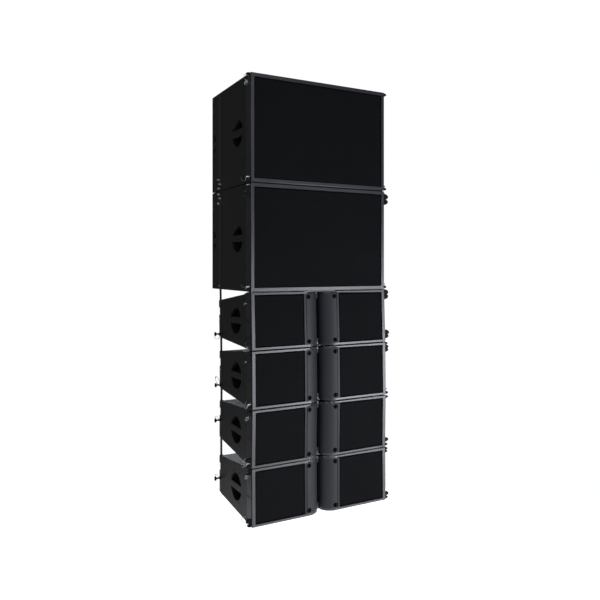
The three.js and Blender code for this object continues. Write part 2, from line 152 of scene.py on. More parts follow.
class Finish:
    """The nodes of one material or of the studio's surroundings."""

    def __init__(self, tree):
        self.tree = tree

    def node(self, kind, settings, sockets, out=0):
        made = self.tree.nodes.new(kind)
        for name, value in settings.items():
            setattr(made, name, value)
        for name, value in sockets.items():
            if isinstance(value, Wire):
                self.tree.links.new(value.socket, made.inputs[name])
            else:
                made.inputs[name].default_value = value
        return Wire(self, made.outputs[out]) if len(made.outputs) else made


around = Finish(studio.node_tree)
seen = around.node("ShaderNodeBackground", {}, {"Color": (1, 1, 1, 1), "Strength": 1.02})
shine = around.node("ShaderNodeBackground", {}, {"Color": (1, 1, 1, 1), "Strength": 0.10})
to_camera = around.node("ShaderNodeLightPath", {}, {})
mixed = around.node("ShaderNodeMixShader", {}, {0: to_camera, 1: shine, 2: seen})
around.node("ShaderNodeOutputWorld", {}, {"Surface": mixed})

bpy.ops.mesh.primitive_circle_add(
    vertices=96, radius=3.4, fill_type="NGON", location=(0, -0.6, cad_box[0][2] - 0.95)
)
floor = bpy.context.object
floor.name = "floor"
pale = bpy.data.materials.new("pale floor")
pale.use_nodes = True
pale_shader = pale.node_tree.nodes["Principled BSDF"]
pale_shader.inputs["Base Color"].default_value = (0.86, 0.86, 0.86, 1)
pale_shader.inputs["Roughness"].default_value = 0.9
pale_shader.inputs["Emission Color"].default_value = (1, 1, 1, 1)
pale_shader.inputs["Emission Strength"].default_value = 0.9
floor.data.materials.append(pale)

# ---- Where each box hangs ------------------------------------------------------------------------
# Every box is described in its own frame: X across, Y back and Z up from the hinge pin above its
# front edge. The four lower boxes lean by a degree or two, so each has its own place.

SUB_BODY = "subwoofers"


def hinge_of(joint):
    return Vector(next(j["pos_m"] for j in frame["joints"] if j["name"] == joint))


def lean_of(node):
    """How far a flat front leans about X, read from the largest face of a node."""
    normal = max(frame["nodes"][node].data.polygons, key=lambda face: face.area).normal
    return math.atan2(-normal.z, -normal.y)


def own_box(node, place):
    """A node's lowest and highest corners in a box's own frame."""
    inverse = place.inverted()
    points = [inverse @ corner.co for corner in frame["nodes"][node].data.vertices]
    low = Vector([min(point[axis] for point in points) for axis in range(3)])
    high = Vector([max(point[axis] for point in points) for axis in range(3)])
    return low, high


# A hinge pin lies behind the front of its box and above its top.
HINGE_INSET = 0.025
HINGE_DROP = 0.0295
shell_low, shell_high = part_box("sub_1_cabinet")
HALF = shell_high.x
FRONT_Y = shell_low.y
SUB_HEIGHT = shell_high.z - shell_low.z
SUB_DEPTH = shell_high.y - shell_low.y
SUB_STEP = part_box("sub_1_cabinet")[0].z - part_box("sub_2_cabinet")[0].z

sub_places = [
    Matrix.Translation((0, FRONT_Y + HINGE_INSET, HINGE_DROP - SUB_STEP * number))
    for number in range(2)
]
module_places = [
    Matrix.Translation(hinge_of(f"splay_{number}"))
    @ Matrix.Rotation(lean_of(f"module_{number}_grille_left"), 4, "X")
    for number in range(1, 5)
]
places = dict(zip(["sub_1", "sub_2"], sub_places))
places |= {f"module_{number}": place for number, place in enumerate(module_places, 1)}
bodies = {name: SUB_BODY if name.startswith("sub") else name for name in places}

# ---- Wire lanyards -------------------------------------------------------------------------------
# Thin galvanised wire ropes keep the loose pins from being lost. Each is a short free loop that
# starts just off the side of a box and ends at a push-button pin or its ring.

LANYARD_WIRE = 0.0022
MODULE_HEIGHT = 0.287


def new_finish(name):
    """A material with a Principled shader, and the maker of its nodes."""
    material = bpy.data.materials.new(name)
    material.use_nodes = True
    material.node_tree.nodes.clear()
    return material, Finish(material.node_tree)


def painted(finish, **sockets):
    """The Principled shader and the output, which every finish ends in."""
    names = {name.replace("_", " "): value for name, value in sockets.items()}
    surface = finish.node("ShaderNodeBsdfPrincipled", {}, names)
    finish.node("ShaderNodeOutputMaterial", {}, {"Surface": surface})


def object_place(finish):
    """Where each point of a piece lies, which the patterns follow."""
    return finish.node("ShaderNodeTexCoord", {}, {}, out="Object")


def noise(finish, place, scale, detail, roughness=0.5, distortion=0.0):
    """A cloudy pattern from 0 to 1."""
    sockets = {
        "Vector": place,
        "Scale": scale,
        "Detail": detail,
        "Roughness": roughness,
        "Distortion": distortion,
    }
    return finish.node("ShaderNodeTexNoise", {}, sockets, out="Fac")


def cells(finish, place, scale):
    """The distance from the middle of small irregular cells."""
    return finish.node("ShaderNodeTexVoronoi", {}, {"Vector": place, "Scale": scale}, out="Distance")


# A Mix node's colour sockets, which share their names with its other sockets.
MIX_FIRST = 6
MIX_SECOND = 7
MIX_RESULT = 2


def blend(finish, factor, first, second):
    """A colour between two others, each either a value or a socket."""
    first, second = (end if isinstance(end, Wire) else (*end, 1) for end in (first, second))
    sockets = {"Factor": factor, MIX_FIRST: first, MIX_SECOND: second}
    return finish.node("ShaderNodeMix", {"data_type": "RGBA"}, sockets, out=MIX_RESULT)


def relief(finish, height, strength, distance):
    """The normal of a surface that a height pattern lifts."""
    sockets = {"Height": height, "Strength": strength, "Distance": distance}
    return finish.node("ShaderNodeBump", {}, sockets)


wire_rope, finish = new_finish("galvanised wire rope")
along = object_place(finish)
strand = finish.node(
    "ShaderNodeTexWave",
    {"bands_direction": "DIAGONAL"},
    {"Vector": along, "Scale": 420.0, "Distortion": 0.4},
    out="Fac",
)
strand_bump = relief(finish, strand, 0.5, 0.0004)
strand_tone = blend(finish, strand, (0.30, 0.31, 0.33), (0.62, 0.63, 0.66))
painted(
    finish,
    Base_Color=strand_tone,
    Metallic=0.85,
    Roughness=0.38,
    Normal=strand_bump,
)


def route_length(points):
    return sum((b - a).length for a, b in zip(points, points[1:]))


ROUTE_POINTS = 25
LOOP_ROUNDNESS = 0.16


def hanging_route(start, end, length, outward):
    """A slack wire between two points: a round loop that sags until it has its length."""

    def route(sag):
        points = []
        for step in range(ROUTE_POINTS):
            t = step / (ROUTE_POINTS - 1)
            swell = 4 * t * (1 - t)
            across = t - LOOP_ROUNDNESS * math.sin(2 * math.pi * t)
            point = start.lerp(end, across) + Vector(outward) * swell
            points.append(point - Vector((0, 0, sag * swell)))
        return points

    low, high = 0.0, length
    for _ in range(40):
        middle = (low + high) / 2
        if route_length(route(middle)) < length:
            low = middle
        else:
            high = middle
    return route(low)


def lanyard(name, box, side, start, end, length, bulge):
    """A wire loop on one side of a box, from beside the wall to a pin or its ring."""
    place = places[box]
    ends = [place @ Vector((side * x, y, z)) for x, y, z in (start, end)]
    outward = Vector((side * bulge[0], bulge[1], 0))
    points = hanging_route(*ends, length, outward)
    line = bpy.data.curves.new(name, "CURVE")
    line.dimensions = "3D"
    line.bevel_depth = LANYARD_WIRE / 2
    line.bevel_resolution = 3
    line.use_fill_caps = True
    spline = line.splines.new("POLY")
    spline.points.add(len(points) - 1)
    for knot, point in zip(spline.points, points):
        knot.co = (*point, 1)
    wire = bpy.data.objects.new(name, line)
    bpy.context.scene.collection.objects.link(wire)
    line.materials.append(wire_rope)
    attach(wire, bodies[box])
    route_length(points)


# Each row is a box, the length of the wire at its foot, and how far the loop stands out and back.
for side, label in ((-1, "left"), (1, "right")):
    for box, rope, bulge in (
        ("sub_1", 0.112, (0.004, 0.0)),
        ("sub_2", 0.100, (0.005, 0.0)),
        ("module_1", 0.080, (0.004, 0.010)),
        ("module_2", 0.090, (0.006, 0.014)),
        ("module_3", 0.150, (0.006, 0.052)),
        ("module_4", 0.128, (0.008, 0.050)),
    ):
        foot = -HINGE_DROP - (SUB_HEIGHT if box.startswith("sub") else MODULE_HEIGHT)
        wall_end = (HALF + 0.0035, 0.090 if box.startswith("sub") else 0.040, foot + 0.034)
        pin_end = (HALF + 0.013, -0.004, foot + 0.021)
        lanyard(f"{box}_lanyard_{label}", box, side, wall_end, pin_end, rope, bulge)
    for box in ("sub_2", "module_1", "module_2", "module_3", "module_4"):
        wall_end = (HALF + 0.0035, 0.052, -HINGE_DROP - 0.052)
        pin_end = (HALF + 0.012, 0.018, -HINGE_DROP - 0.046)
        lanyard(f"{box}_top_lanyard_{label}", box, side, wall_end, pin_end, 0.052, (0.004, 0.0))

# ---- Subwoofer cabinets --------------------------------------------------------------------------
# Birch plywood boxes sprayed with black textured polyurea. The front edges are the same paint made
# lighter and smoother, a painted highlight for the light they catch. A round hand hole with a bar
# across it is routed in each side, and another in each side at the rear edge.

TOP = -HINGE_DROP
FRONT = -HINGE_INSET
SIDE_WALL = 0.0186
INNER = HALF - SIDE_WALL
SUB_WALL = 0.019
SUB_REAR = FRONT + SUB_DEPTH
SUB_BOTTOM = TOP - SUB_HEIGHT
SUB_MIDDLE = (TOP + SUB_BOTTOM) / 2
SUB_BAFFLE = (FRONT + 0.040, FRONT + 0.064)
SUB_HANDLE_Y = FRONT + 0.176
HANDLE_RADIUS = 0.071
HANDLE_BAR = 0.033
CUP_WALL = 0.004
CUP_DEPTH = 0.046
RAIL_INNER = HALF - 0.009
RAIL_OUTER = HALF - 0.0025
LINK_Y = 0.411
TONGUE_RADIUS = 0.012


def choose(*pieces):
    """Selects only these pieces and makes the first one active."""
    bpy.ops.object.select_all(action="DESELECT")
    for piece in pieces:
        piece.select_set(True)
    bpy.context.view_layer.objects.active = pieces[0]


def settle(name):
    """Names the new piece and leaves its place in its mesh."""
    piece = bpy.context.object
    piece.name = name
    bpy.ops.object.transform_apply(location=True, rotation=True, scale=True)
    return piece


def block(name, low, high):
    bpy.ops.object.select_all(action="DESELECT")
    low, high = Vector(low), Vector(high)
    bpy.ops.mesh.primitive_cube_add(size=1, location=(low + high) / 2)
    bpy.context.object.scale = [abs(b - a) for a, b in zip(low, high)]
    return settle(name)


def side_block(name, side, xs, ys, zs):
    """A block on one side of the array; xs are distances from its middle."""
    ends = sorted(side * x for x in xs)
    return block(name, (ends[0], ys[0], zs[0]), (ends[1], ys[1], zs[1]))


TURNS = {"X": (0, math.radians(90), 0), "Y": (math.radians(90), 0, 0)}


def drum(name, radius, axis, start, end, sides=48):
    """A round bar between two points that lie along one axis."""
    bpy.ops.object.select_all(action="DESELECT")
    start, end = Vector(start), Vector(end)
    bpy.ops.mesh.primitive_cylinder_add(
        vertices=sides,
        radius=radius,
        depth=(end - start).length,
        location=(start + end) / 2,
        rotation=TURNS[axis],
    )
    return settle(name)


def side_drum(name, side, radius, xs, y, z, sides=48):
    """A round bar across one side of the array; xs are distances from its middle."""
    return drum(name, radius, "X", *[(side * x, y, z) for x in xs], sides)


def combine(piece, other, operation):
    choose(piece)
    bpy.ops.object.modifier_add(type="BOOLEAN")
    boolean = piece.modifiers[-1]
    boolean.operation = operation
    boolean.solver = "MANIFOLD"
    boolean.object = other
    bpy.ops.object.modifier_apply(modifier=boolean.name)
    bpy.data.objects.remove(other)
    return piece


def cut(piece, *others):
    for other in others:
        combine(piece, other, "DIFFERENCE")
    return piece


def weld(piece, *others):
    for other in others:
        combine(piece, other, "UNION")
    return piece


def round_edges(piece, width, segments=2, angle=40):
    choose(piece)
    bpy.ops.object.modifier_add(type="BEVEL")
    bevel = piece.modifiers[-1]
    bevel.width = width
    bevel.segments = segments
    bevel.limit_method = "ANGLE"
    bevel.angle_limit = math.radians(angle)
    bpy.ops.object.modifier_apply(modifier=bevel.name)
    return piece


# A face with this many sides or this area is a flat panel.
PANEL_SIDES = 7
PANEL_AREA = 0.004


def smooth(piece):
    """Rounded edges and curves shade smoothly, and the flat panels between them stay flat."""
    choose(piece)
    bpy.ops.object.shade_smooth_by_angle(angle=math.radians(32))
    for face in piece.data.polygons:
        face.use_smooth = len(face.vertices) < PANEL_SIDES and face.area < PANEL_AREA
    return piece


def add_side_handle(shell, side, y, z):
    """A closed cup behind the side, and the two half-round openings into it."""
    back = INNER - CUP_DEPTH
    weld(shell, side_drum("cup", side, HANDLE_RADIUS + CUP_WALL, (back - CUP_WALL, INNER + 0.001), y, z))
    hollow = side_drum("hollow", side, HANDLE_RADIUS, (back, HALF + 0.02), y, z, 80)
    bar_z = (z - HANDLE_BAR / 2, z + HANDLE_BAR / 2)
    cut(hollow, side_block("bar", side, (INNER, HALF + 0.04), (y - 0.1, y + 0.1), bar_z))
    round_edges(hollow, 0.006, 3, 50)
    return cut(shell, hollow)


def add_corner_grip(shell, side):
    """A pocket near the rear edge of a subwoofer; its round opening is cut off by the rear wall."""
    z = SUB_MIDDLE
    reach = 0.010
    inward = HANDLE_RADIUS - reach
    rear_inner = SUB_REAR - SUB_WALL
    cup = side_block(
        "cup",
        side,
        (HALF - inward - CUP_WALL, INNER + 0.001),
        (SUB_REAR - inward - CUP_WALL, rear_inner + 0.001),
        (z - HANDLE_RADIUS - CUP_WALL, z + HANDLE_RADIUS + CUP_WALL),
    )
    weld(shell, cup)
    hollow = side_block(
        "hollow",
        side,
        (HALF - inward, INNER + 0.0002),
        (SUB_REAR - inward, rear_inner),
        (z - HANDLE_RADIUS, z + HANDLE_RADIUS),
    )
    round_edges(hollow, 0.006, 3, 50)
    opening = side_drum("opening", side, HANDLE_RADIUS, (INNER - 0.003, HALF + 0.02), SUB_REAR + reach, z, 80)
    xs = (HALF - 0.1, HALF + 0.1)
    bar_z = (z - HANDLE_BAR / 2, z + HANDLE_BAR / 2)
    cut(
        opening,
        side_block("rear wall", side, xs, (rear_inner, SUB_REAR + 0.2), (z - 0.2, z + 0.2)),
        side_block("bar", side, xs, (SUB_REAR - 0.1, SUB_REAR + 0.1), bar_z),
    )
    round_edges(opening, 0.005, 3, 50)
    weld(hollow, opening)
    return cut(shell, hollow)


def add_rail_slots(shell, ys, zs):
    """The slots in both sides that take the steel of the rigging."""
    for side in (-1, 1):
        cut(shell, side_block("slot", side, (RAIL_INNER, RAIL_OUTER), ys, zs))
    return shell


shell = block("subwoofer shell", (-HALF, FRONT, SUB_BOTTOM), (HALF, SUB_REAR, TOP))
round_edges(shell, 0.003, 3)
inside_z = (SUB_BOTTOM + SUB_WALL, TOP - SUB_WALL)
cut(
    shell,
    block("recess", (-INNER, FRONT - 0.01, inside_z[0]), (INNER, SUB_BAFFLE[0], inside_z[1])),
    block("inside", (-INNER, SUB_BAFFLE[1], inside_z[0]), (INNER, SUB_REAR - SUB_WALL, inside_z[1])),
    drum("driver hole", 0.212, "Y", (0, FRONT + 0.035, SUB_MIDDLE), (0, FRONT + 0.07, SUB_MIDDLE), 96),
    block(
        "plate seat",
        (-0.105, SUB_REAR - 0.005, SUB_MIDDLE - 0.070),
        (0.105, SUB_REAR + 0.01, SUB_MIDDLE + 0.070),
    ),
    block(
        "plate hole",
        (-0.090, SUB_REAR - 0.03, SUB_MIDDLE - 0.055),
        (0.090, SUB_REAR, SUB_MIDDLE + 0.055),
    ),
)
for x in (-0.312, 0.312):
    for z in (SUB_MIDDLE - 0.165, SUB_MIDDLE + 0.165):
        tube_y = (SUB_BAFFLE[0] + 0.001, SUB_BAFFLE[0] + 0.150)
        bore_y = (SUB_BAFFLE[0] - 0.01, SUB_BAFFLE[0] + 0.16)
        weld(shell, drum("port", 0.054, "Y", *[(x, y, z) for y in tube_y]))
        cut(shell, drum("port bore", 0.050, "Y", *[(x, y, z) for y in bore_y]))
for side in (-1, 1):
    add_side_handle(shell, side, SUB_HANDLE_Y, SUB_MIDDLE)
    add_corner_grip(shell, side)
pocket_y = (-TONGUE_RADIUS - 0.005, TONGUE_RADIUS + 0.005)
add_rail_slots(shell, pocket_y, (SUB_BOTTOM - 0.01, SUB_BOTTOM + 0.041))
add_rail_slots(shell, pocket_y, (TOP - 0.045, TOP + 0.01))
for zs in ((SUB_BOTTOM - 0.01, SUB_BOTTOM + 0.074), (TOP - 0.074, TOP + 0.01)):
    add_rail_slots(shell, (LINK_Y - 0.020, LINK_Y + 0.020), zs)
round_edges(shell, 0.0014, 2, 50)

# The texture is a fine orange-peel grain with a few coarser drops, and it is dusty and a little more
# polished in scuffed patches.


def textured_paint(name, dark, pale, gloss, grain=0.5, grime=0.5, shine=0.5):
    """Sprayed polyurea: a colour that varies a little, and a pebbled surface."""
    material, finish = new_finish(name)
    place = object_place(finish)
    drops = cells(finish, place, 420.0)
    fine = noise(finish, place, 900.0, 3.0, 0.6)
    coarse = noise(finish, place, 130.0, 2.0)
    cloud = noise(finish, place, 6.0, 5.0, 0.62)
    scuff = noise(finish, place, 34.0, 6.0, 0.75)
    scuffed = scuff.rise(0.60, 0.74) * cloud.rise(0.45, 0.70)
    tone = (cloud.rise(0.30, 0.72) * 0.6 + fine * 0.4).clamp()
    colour = blend(finish, tone, dark, pale)
    dust = blend(finish, scuffed * (0.35 * grime), colour, (0.16, 0.16, 0.17))
    height = (1 - drops) * 0.6 + fine * 0.3 + coarse * 0.5
    bump = relief(finish, height, grain, 0.0009)
    rough = (gloss + cloud * 0.10 - scuffed * 0.12).clamp()
    painted(finish, Base_Color=dust, Roughness=rough, Normal=bump, Specular_IOR_Level=shine)
    return material


side_paint = textured_paint(
    "black textured paint",
    dark=(0.0046, 0.0052, 0.0070),
    pale=(0.0075, 0.0084, 0.0110),
    gloss=0.48,
    shine=0.38,
)
# The front edges take a lighter copy of the same paint, a painted highlight for the light from the front. The
# dusty scuffs in it are real wear.
lit_edge_paint = textured_paint(
    "front edge paint, lighter as painted highlight",
    dark=(0.0160, 0.0164, 0.0212),
    pale=(0.0250, 0.0255, 0.0320),
    gloss=0.28,
    grain=0.30,
    grime=0.9,
    shine=0.78,
)

cup_plastic, finish = new_finish("black handle cup")
spot = object_place(finish)
leather = cells(finish, spot, 700.0)
shade = noise(finish, spot, 20.0, 4.0)
cup_tone = blend(finish, shade, (0.003, 0.003, 0.0034), (0.006, 0.006, 0.0066))
cup_bump = relief(finish, leather, 0.4, 0.0006)
painted(finish, Base_Color=cup_tone, Roughness=shade * 0.15 + 0.62, Normal=cup_bump)


def in_handle(point, y, z):
    return math.hypot(point.y - y, point.z - z) < HANDLE_RADIUS + 0.001 and abs(point.x) < HALF - 0.0015


# The places of a shell's three finishes in its list.
SIDES, LIT_EDGES, HOLLOWS = range(3)
EDGE_FACING = -0.93


def dress_shell(piece, rule):
    """Gives a shell its three finishes by a rule on the middle and the normal of each face."""
    piece.data.materials.clear()
    for material in (side_paint, lit_edge_paint, cup_plastic):
        piece.data.materials.append(material)
    for face in piece.data.polygons:
        face.material_index = rule(face.center, face.normal)
    return piece


def sub_rule(point, normal):
    # Front-facing faces take the lighter paint, a painted highlight.
    if point.y < FRONT + 0.0032 and normal.y < EDGE_FACING:
        return LIT_EDGES
    corner = point.y > SUB_REAR - 0.062 and abs(point.z - SUB_MIDDLE) < HANDLE_RADIUS + 0.002
    within = abs(point.x) < HALF - 0.0015 and point.y < SUB_REAR - SUB_WALL + 0.0005
    if in_handle(point, SUB_HANDLE_Y, SUB_MIDDLE) or (corner and within):
        return HOLLOWS
    if abs(point.x) < INNER + 0.0006 and FRONT + 0.002 < point.y < SUB_REAR - 0.006:
        return HOLLOWS if inside_z[0] - 0.0006 < point.z < inside_z[1] + 0.0006 else SIDES
    return SIDES


def copy_of(piece, name):
    """A copy of a piece with a mesh of its own."""
    twin = piece.copy()
    twin.data = piece.data.copy()
    twin.name = name
    bpy.context.scene.collection.objects.link(twin)
    return twin


def hang(piece, box, slot, body=None, *nodes):
    """Puts a piece made in a box's own frame in its place, and fixes it to its body."""
    choose(piece)
    piece.matrix_world = places[box] @ piece.matrix_world
    bpy.ops.object.transform_apply(location=True, rotation=True, scale=True)
    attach(piece, body or bodies[box])
    if nodes:
        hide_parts(*nodes)
    return piece


dress_shell(shell, sub_rule)
smooth(shell)
for box in ("sub_1", "sub_2"):
    hang(copy_of(shell, f"{box}_shell"), box, "cabinet_paint", None, f"{box}_cabinet")
bpy.data.objects.remove(shell)

# ---- Subwoofer grilles ---------------------------------------------------------------------------
# Perforated steel sheet, folded back at its edges and powder coated black, with acoustic foam
# behind it. Each is pressed into the front of its box with a narrow shadow gap all round.


def perforated(name, pitch, hole):
    """Powder-coated sheet with staggered round holes over black foam."""
    material, finish = new_finish(name)
    place = object_place(finish)
    x = finish.node("ShaderNodeSeparateXYZ", {}, {"Vector": place}, out="X")
    z = finish.node("ShaderNodeSeparateXYZ", {}, {"Vector": place}, out="Z")
    row = math.sqrt(3)

    def nearest(shift):
        across = (x / pitch + shift).fraction() - 0.5
        up = ((z / (pitch * row) + shift).fraction() - 0.5) * row
        return (across * across + up * up) ** 0.5

    reach = nearest(0.0).least(nearest(0.5))
    rim = hole / pitch / 2
    open_hole = 1 - reach.rise(rim - 0.05, rim + 0.05)
    grain = noise(finish, place, 700.0, 3.0)
    cloud = noise(finish, place, 5.0, 4.0)
    coat = blend(finish, cloud, (0.0082, 0.0084, 0.0098), (0.0108, 0.0111, 0.0130))
    colour = blend(finish, open_hole, coat, (0.0008, 0.0008, 0.0010))
    height = (1 - open_hole) + grain * 0.08
    bump = relief(finish, height, 0.6, 0.0006)
    rough = (open_hole * 0.30 + 0.62 + grain * 0.06).clamp()
    painted(finish, Base_Color=colour, Roughness=rough, Normal=bump, Specular_IOR_Level=0.05)
    return material


grille_coat = perforated("black perforated steel", 0.0050, 0.0034)


SHEET_THICKNESS = 0.0015
SHADOW_GAP = 0.0022


def grille(name, low, high, fold=0.006):
    """A sheet folded into a shallow pan: its rim is rounded and its back is open."""
    pan = block(name, low, high)
    bpy.ops.object.mode_set(mode="EDIT")
    bpy.ops.mesh.select_all(action="DESELECT")
    bpy.ops.object.mode_set(mode="OBJECT")
    for face in pan.data.polygons:
        face.select = face.normal.y > 0.9
    bpy.ops.object.mode_set(mode="EDIT")
    bpy.ops.mesh.delete(type="FACE")
    bpy.ops.object.mode_set(mode="OBJECT")
    round_edges(pan, fold, 4)
    bpy.ops.object.modifier_add(type="SOLIDIFY")
    pan.modifiers[-1].thickness = SHEET_THICKNESS
    bpy.ops.object.modifier_apply(modifier=pan.modifiers[-1].name)
    pan.data.materials.append(grille_coat)
    return smooth(pan)


for box in ("sub_1", "sub_2"):
    low, high = own_box(f"{box}_grille", places[box])
    gap = Vector((SHADOW_GAP, 0, SHADOW_GAP))
    pan = grille(f"{box}_front", low + gap, high - gap)
    hang(pan, box, "grille", None, f"{box}_grille")

# ---- Module cabinets -----------------------------------------------------------------------------
# Plywood boxes in the same paint, tapered towards the rear so that the column can curve. The front
# edges of the top and bottom follow the flare of the horn, and the rear edge of each side is notched.

TAPER = math.radians(5.2)
MODULE_WALL = 0.012
MODULE_DEPTH = 0.450
MODULE_REAR = FRONT + MODULE_DEPTH
MODULE_BOTTOM = TOP - MODULE_HEIGHT
MODULE_MIDDLE = (TOP + MODULE_BOTTOM) / 2
BAFFLE = (FRONT + 0.030, FRONT + 0.045)
TRIM_OUTER = 0.1045
TRIM_INNER = 0.0915
FLARE_DEPTH = 0.055
SLOT_HALF = 0.0085
WOOFER_X = (INNER + TRIM_OUTER) / 2
MODULE_HANDLE_Y = FRONT + 0.207
REAR_RECESS = 0.020
REAR_FACE = MODULE_REAR - REAR_RECESS
CORNER_CUT = 0.018
CORNER_NORMAL = (0, 0.8137, -0.5812)
NOTCH_DEPTH = 0.017
NOTCH_HEIGHT = 0.042
NOTCH_DROP = 0.040


def top_at(y):
    return TOP - (y - FRONT) * math.tan(TAPER)


def bottom_at(y):
    return MODULE_BOTTOM + (y - FRONT) * math.tan(TAPER)


def slice_off(piece, point, normal):
    """Cuts a closed piece along a plane and keeps the side the normal points away from."""
    choose(piece)
    bpy.ops.object.mode_set(mode="EDIT")
    bpy.ops.mesh.select_all(action="SELECT")
    bpy.ops.mesh.bisect(plane_co=point, plane_no=normal, use_fill=True, clear_outer=True)
    bpy.ops.object.mode_set(mode="OBJECT")
    return piece


def tapered(name, xs, ys, inset):
    """A block between two depths whose top and bottom run parallel to the module's."""
    piece = block(name, (xs[0], ys[0], MODULE_BOTTOM - 0.02), (xs[1], ys[1], TOP + 0.02))
    slice_off(piece, (0, FRONT, TOP - inset), (0, math.sin(TAPER), math.cos(TAPER)))
    slice_off(piece, (0, FRONT, MODULE_BOTTOM + inset), (0, math.sin(TAPER), -math.cos(TAPER)))
    return piece


def flare_cutter():
    """The room in front of the horn: what two upright elliptical noses leave between them."""
    room = block(
        "room",
        (-TRIM_INNER, FRONT - 0.02, MODULE_BOTTOM - 0.03),
        (TRIM_INNER, FRONT + FLARE_DEPTH, TOP + 0.03),
    )
    for side in (-1, 1):
        bpy.ops.object.select_all(action="DESELECT")
        bpy.ops.mesh.primitive_cylinder_add(
            vertices=160,
            radius=1,
            depth=MODULE_HEIGHT + 0.2,
            location=(side * TRIM_INNER, FRONT + FLARE_DEPTH, MODULE_MIDDLE),
        )
        bpy.context.object.scale = (TRIM_INNER - SLOT_HALF, FLARE_DEPTH, 1)
        cut(room, settle("nose"))
    return room


module = tapered("module shell", (-HALF, HALF), (FRONT, MODULE_REAR), 0)
corner_y = MODULE_REAR - CORNER_CUT
slice_off(module, (0, corner_y, bottom_at(corner_y)), CORNER_NORMAL)
round_edges(module, 0.0025, 3, 20)
notch_top = top_at(MODULE_REAR) - NOTCH_DROP
notch_y = (MODULE_REAR - NOTCH_DEPTH, MODULE_REAR + 0.03)
notch_z = (notch_top - NOTCH_HEIGHT, notch_top)
notch = block("notch", (-0.5, notch_y[0], notch_z[0]), (0.5, notch_y[1], notch_z[1]))
round_edges(notch, 0.009, 4)
cut(
    module,
    notch,
    block("rear recess", (-INNER, REAR_FACE, MODULE_BOTTOM), (INNER, MODULE_REAR + 0.01, TOP)),
    tapered("recess", (-INNER, INNER), (FRONT - 0.01, BAFFLE[0]), MODULE_WALL),
    tapered("middle", (-TRIM_OUTER, TRIM_OUTER), (BAFFLE[0] - 0.001, BAFFLE[1] + 0.001), MODULE_WALL),
    tapered("inside", (-INNER, INNER), (BAFFLE[1], REAR_FACE - 0.015), MODULE_WALL),
    block(
        "plate hole",
        (-0.150, REAR_FACE - 0.02, MODULE_MIDDLE - 0.050),
        (0.150, REAR_FACE + 0.01, MODULE_MIDDLE + 0.050),
    ),
    flare_cutter(),
)
for side in (-1, 1):
    ends = [(side * WOOFER_X, y, MODULE_MIDDLE) for y in (BAFFLE[0] - 0.01, BAFFLE[1] + 0.01)]
    cut(module, drum("woofer hole", 0.112, "Y", *ends, 64))
    add_side_handle(module, side, MODULE_HANDLE_Y, MODULE_MIDDLE)
add_rail_slots(module, pocket_y, (MODULE_BOTTOM - 0.01, MODULE_BOTTOM + 0.041))
add_rail_slots(module, (LINK_Y - 0.018, MODULE_REAR + 0.01), (MODULE_BOTTOM - 0.01, TOP + 0.01))
round_edges(module, 0.0012, 2, 50)


def module_rule(point, normal):
    # Front-facing faces take the lighter paint, a painted highlight.
    if point.y < FRONT + 0.0028 and normal.y < EDGE_FACING:
        return LIT_EDGES
    edge = point.z > top_at(point.y) - MODULE_WALL or point.z < bottom_at(point.y) + MODULE_WALL
    in_flare = abs(point.x) < TRIM_INNER and point.y < FRONT + FLARE_DEPTH + 0.001
    # Front edges that follow the flares take the same painted highlight.
    if edge and in_flare and abs(normal.z) < 0.5:
        return LIT_EDGES
    if in_handle(point, MODULE_HANDLE_Y, MODULE_MIDDLE):
        return HOLLOWS
    if abs(point.x) < INNER + 0.0006 and FRONT + 0.002 < point.y < REAR_FACE - 0.002:
        return SIDES if edge else HOLLOWS
    return SIDES


dress_shell(module, module_rule)

# A link's lock pin lies at this part of the way from the top of its module to the bottom.
LOCK_AT = (0.5, 0.49, 0.52, 0.6)
LINK_PIN_RADIUS = 0.004
LINK_PIVOT_RISE = 0.020
module_pivot = bottom_at(LINK_Y) + LINK_PIVOT_RISE


def lock_height(number):
    top = top_at(LINK_Y)
    return top + (bottom_at(LINK_Y) - top) * LOCK_AT[number - 1]


def pull_height(number):
    """The first two modules have their pulled pins at the link's pivot, the others at the lock."""
    return module_pivot if number < 3 else lock_height(number)


for number in range(1, 5):
    box = f"module_{number}"
    shell = copy_of(module, f"{box}_shell")
    for side in (-1, 1):
        xs = (INNER - 0.002, HALF + 0.002)
        cut(shell, side_drum("pin hole", side, LINK_PIN_RADIUS + 0.0005, xs, LINK_Y, pull_height(number), 24))
    smooth(shell)
    hang(shell, box, "cabinet_paint", None, f"{box}_cabinet")
bpy.data.objects.remove(module)

# ---- Horns ---------------------------------------------------------------------------------------
# One satin moulding in structural foam plastic: a flat trim strip on each side, two curved flares
# and the tall slot between them. Black rubber plugs cover the four bolts of each flare.

horn_plastic, finish = new_finish("satin moulded horn")
spot = object_place(finish)
grain = noise(finish, spot, 1300.0, 2.0)
flow = noise(finish, spot, 9.0, 5.0, 0.6)
horn_tone = blend(finish, flow, (0.0180, 0.0182, 0.0230), (0.0240, 0.0242, 0.0300))
horn_bump = relief(finish, grain + flow * 0.3, 0.18, 0.0005)
horn_rough = flow * 0.12 + 0.46
painted(finish, Base_Color=horn_tone, Roughness=horn_rough, Normal=horn_bump, Specular_IOR_Level=0.30)

trim_paint = textured_paint(
    "graphite horn trim",
    dark=(0.0100, 0.0102, 0.0136),
    pale=(0.0155, 0.0158, 0.0204),
    gloss=0.36,
    grain=0.22,
    grime=0.6,
    shine=0.24,
)

rubber, finish = new_finish("black rubber")
spot = object_place(finish)
speck = noise(finish, spot, 600.0, 4.0)
rubber_tone = blend(finish, speck, (0.0008, 0.0008, 0.0010), (0.0020, 0.0020, 0.0024))
rubber_bump = relief(finish, speck, 0.35, 0.0005)
rubber_rough = speck * 0.2 + 0.60
painted(finish, Base_Color=rubber_tone, Roughness=rubber_rough, Normal=rubber_bump, Specular_IOR_Level=0.02)

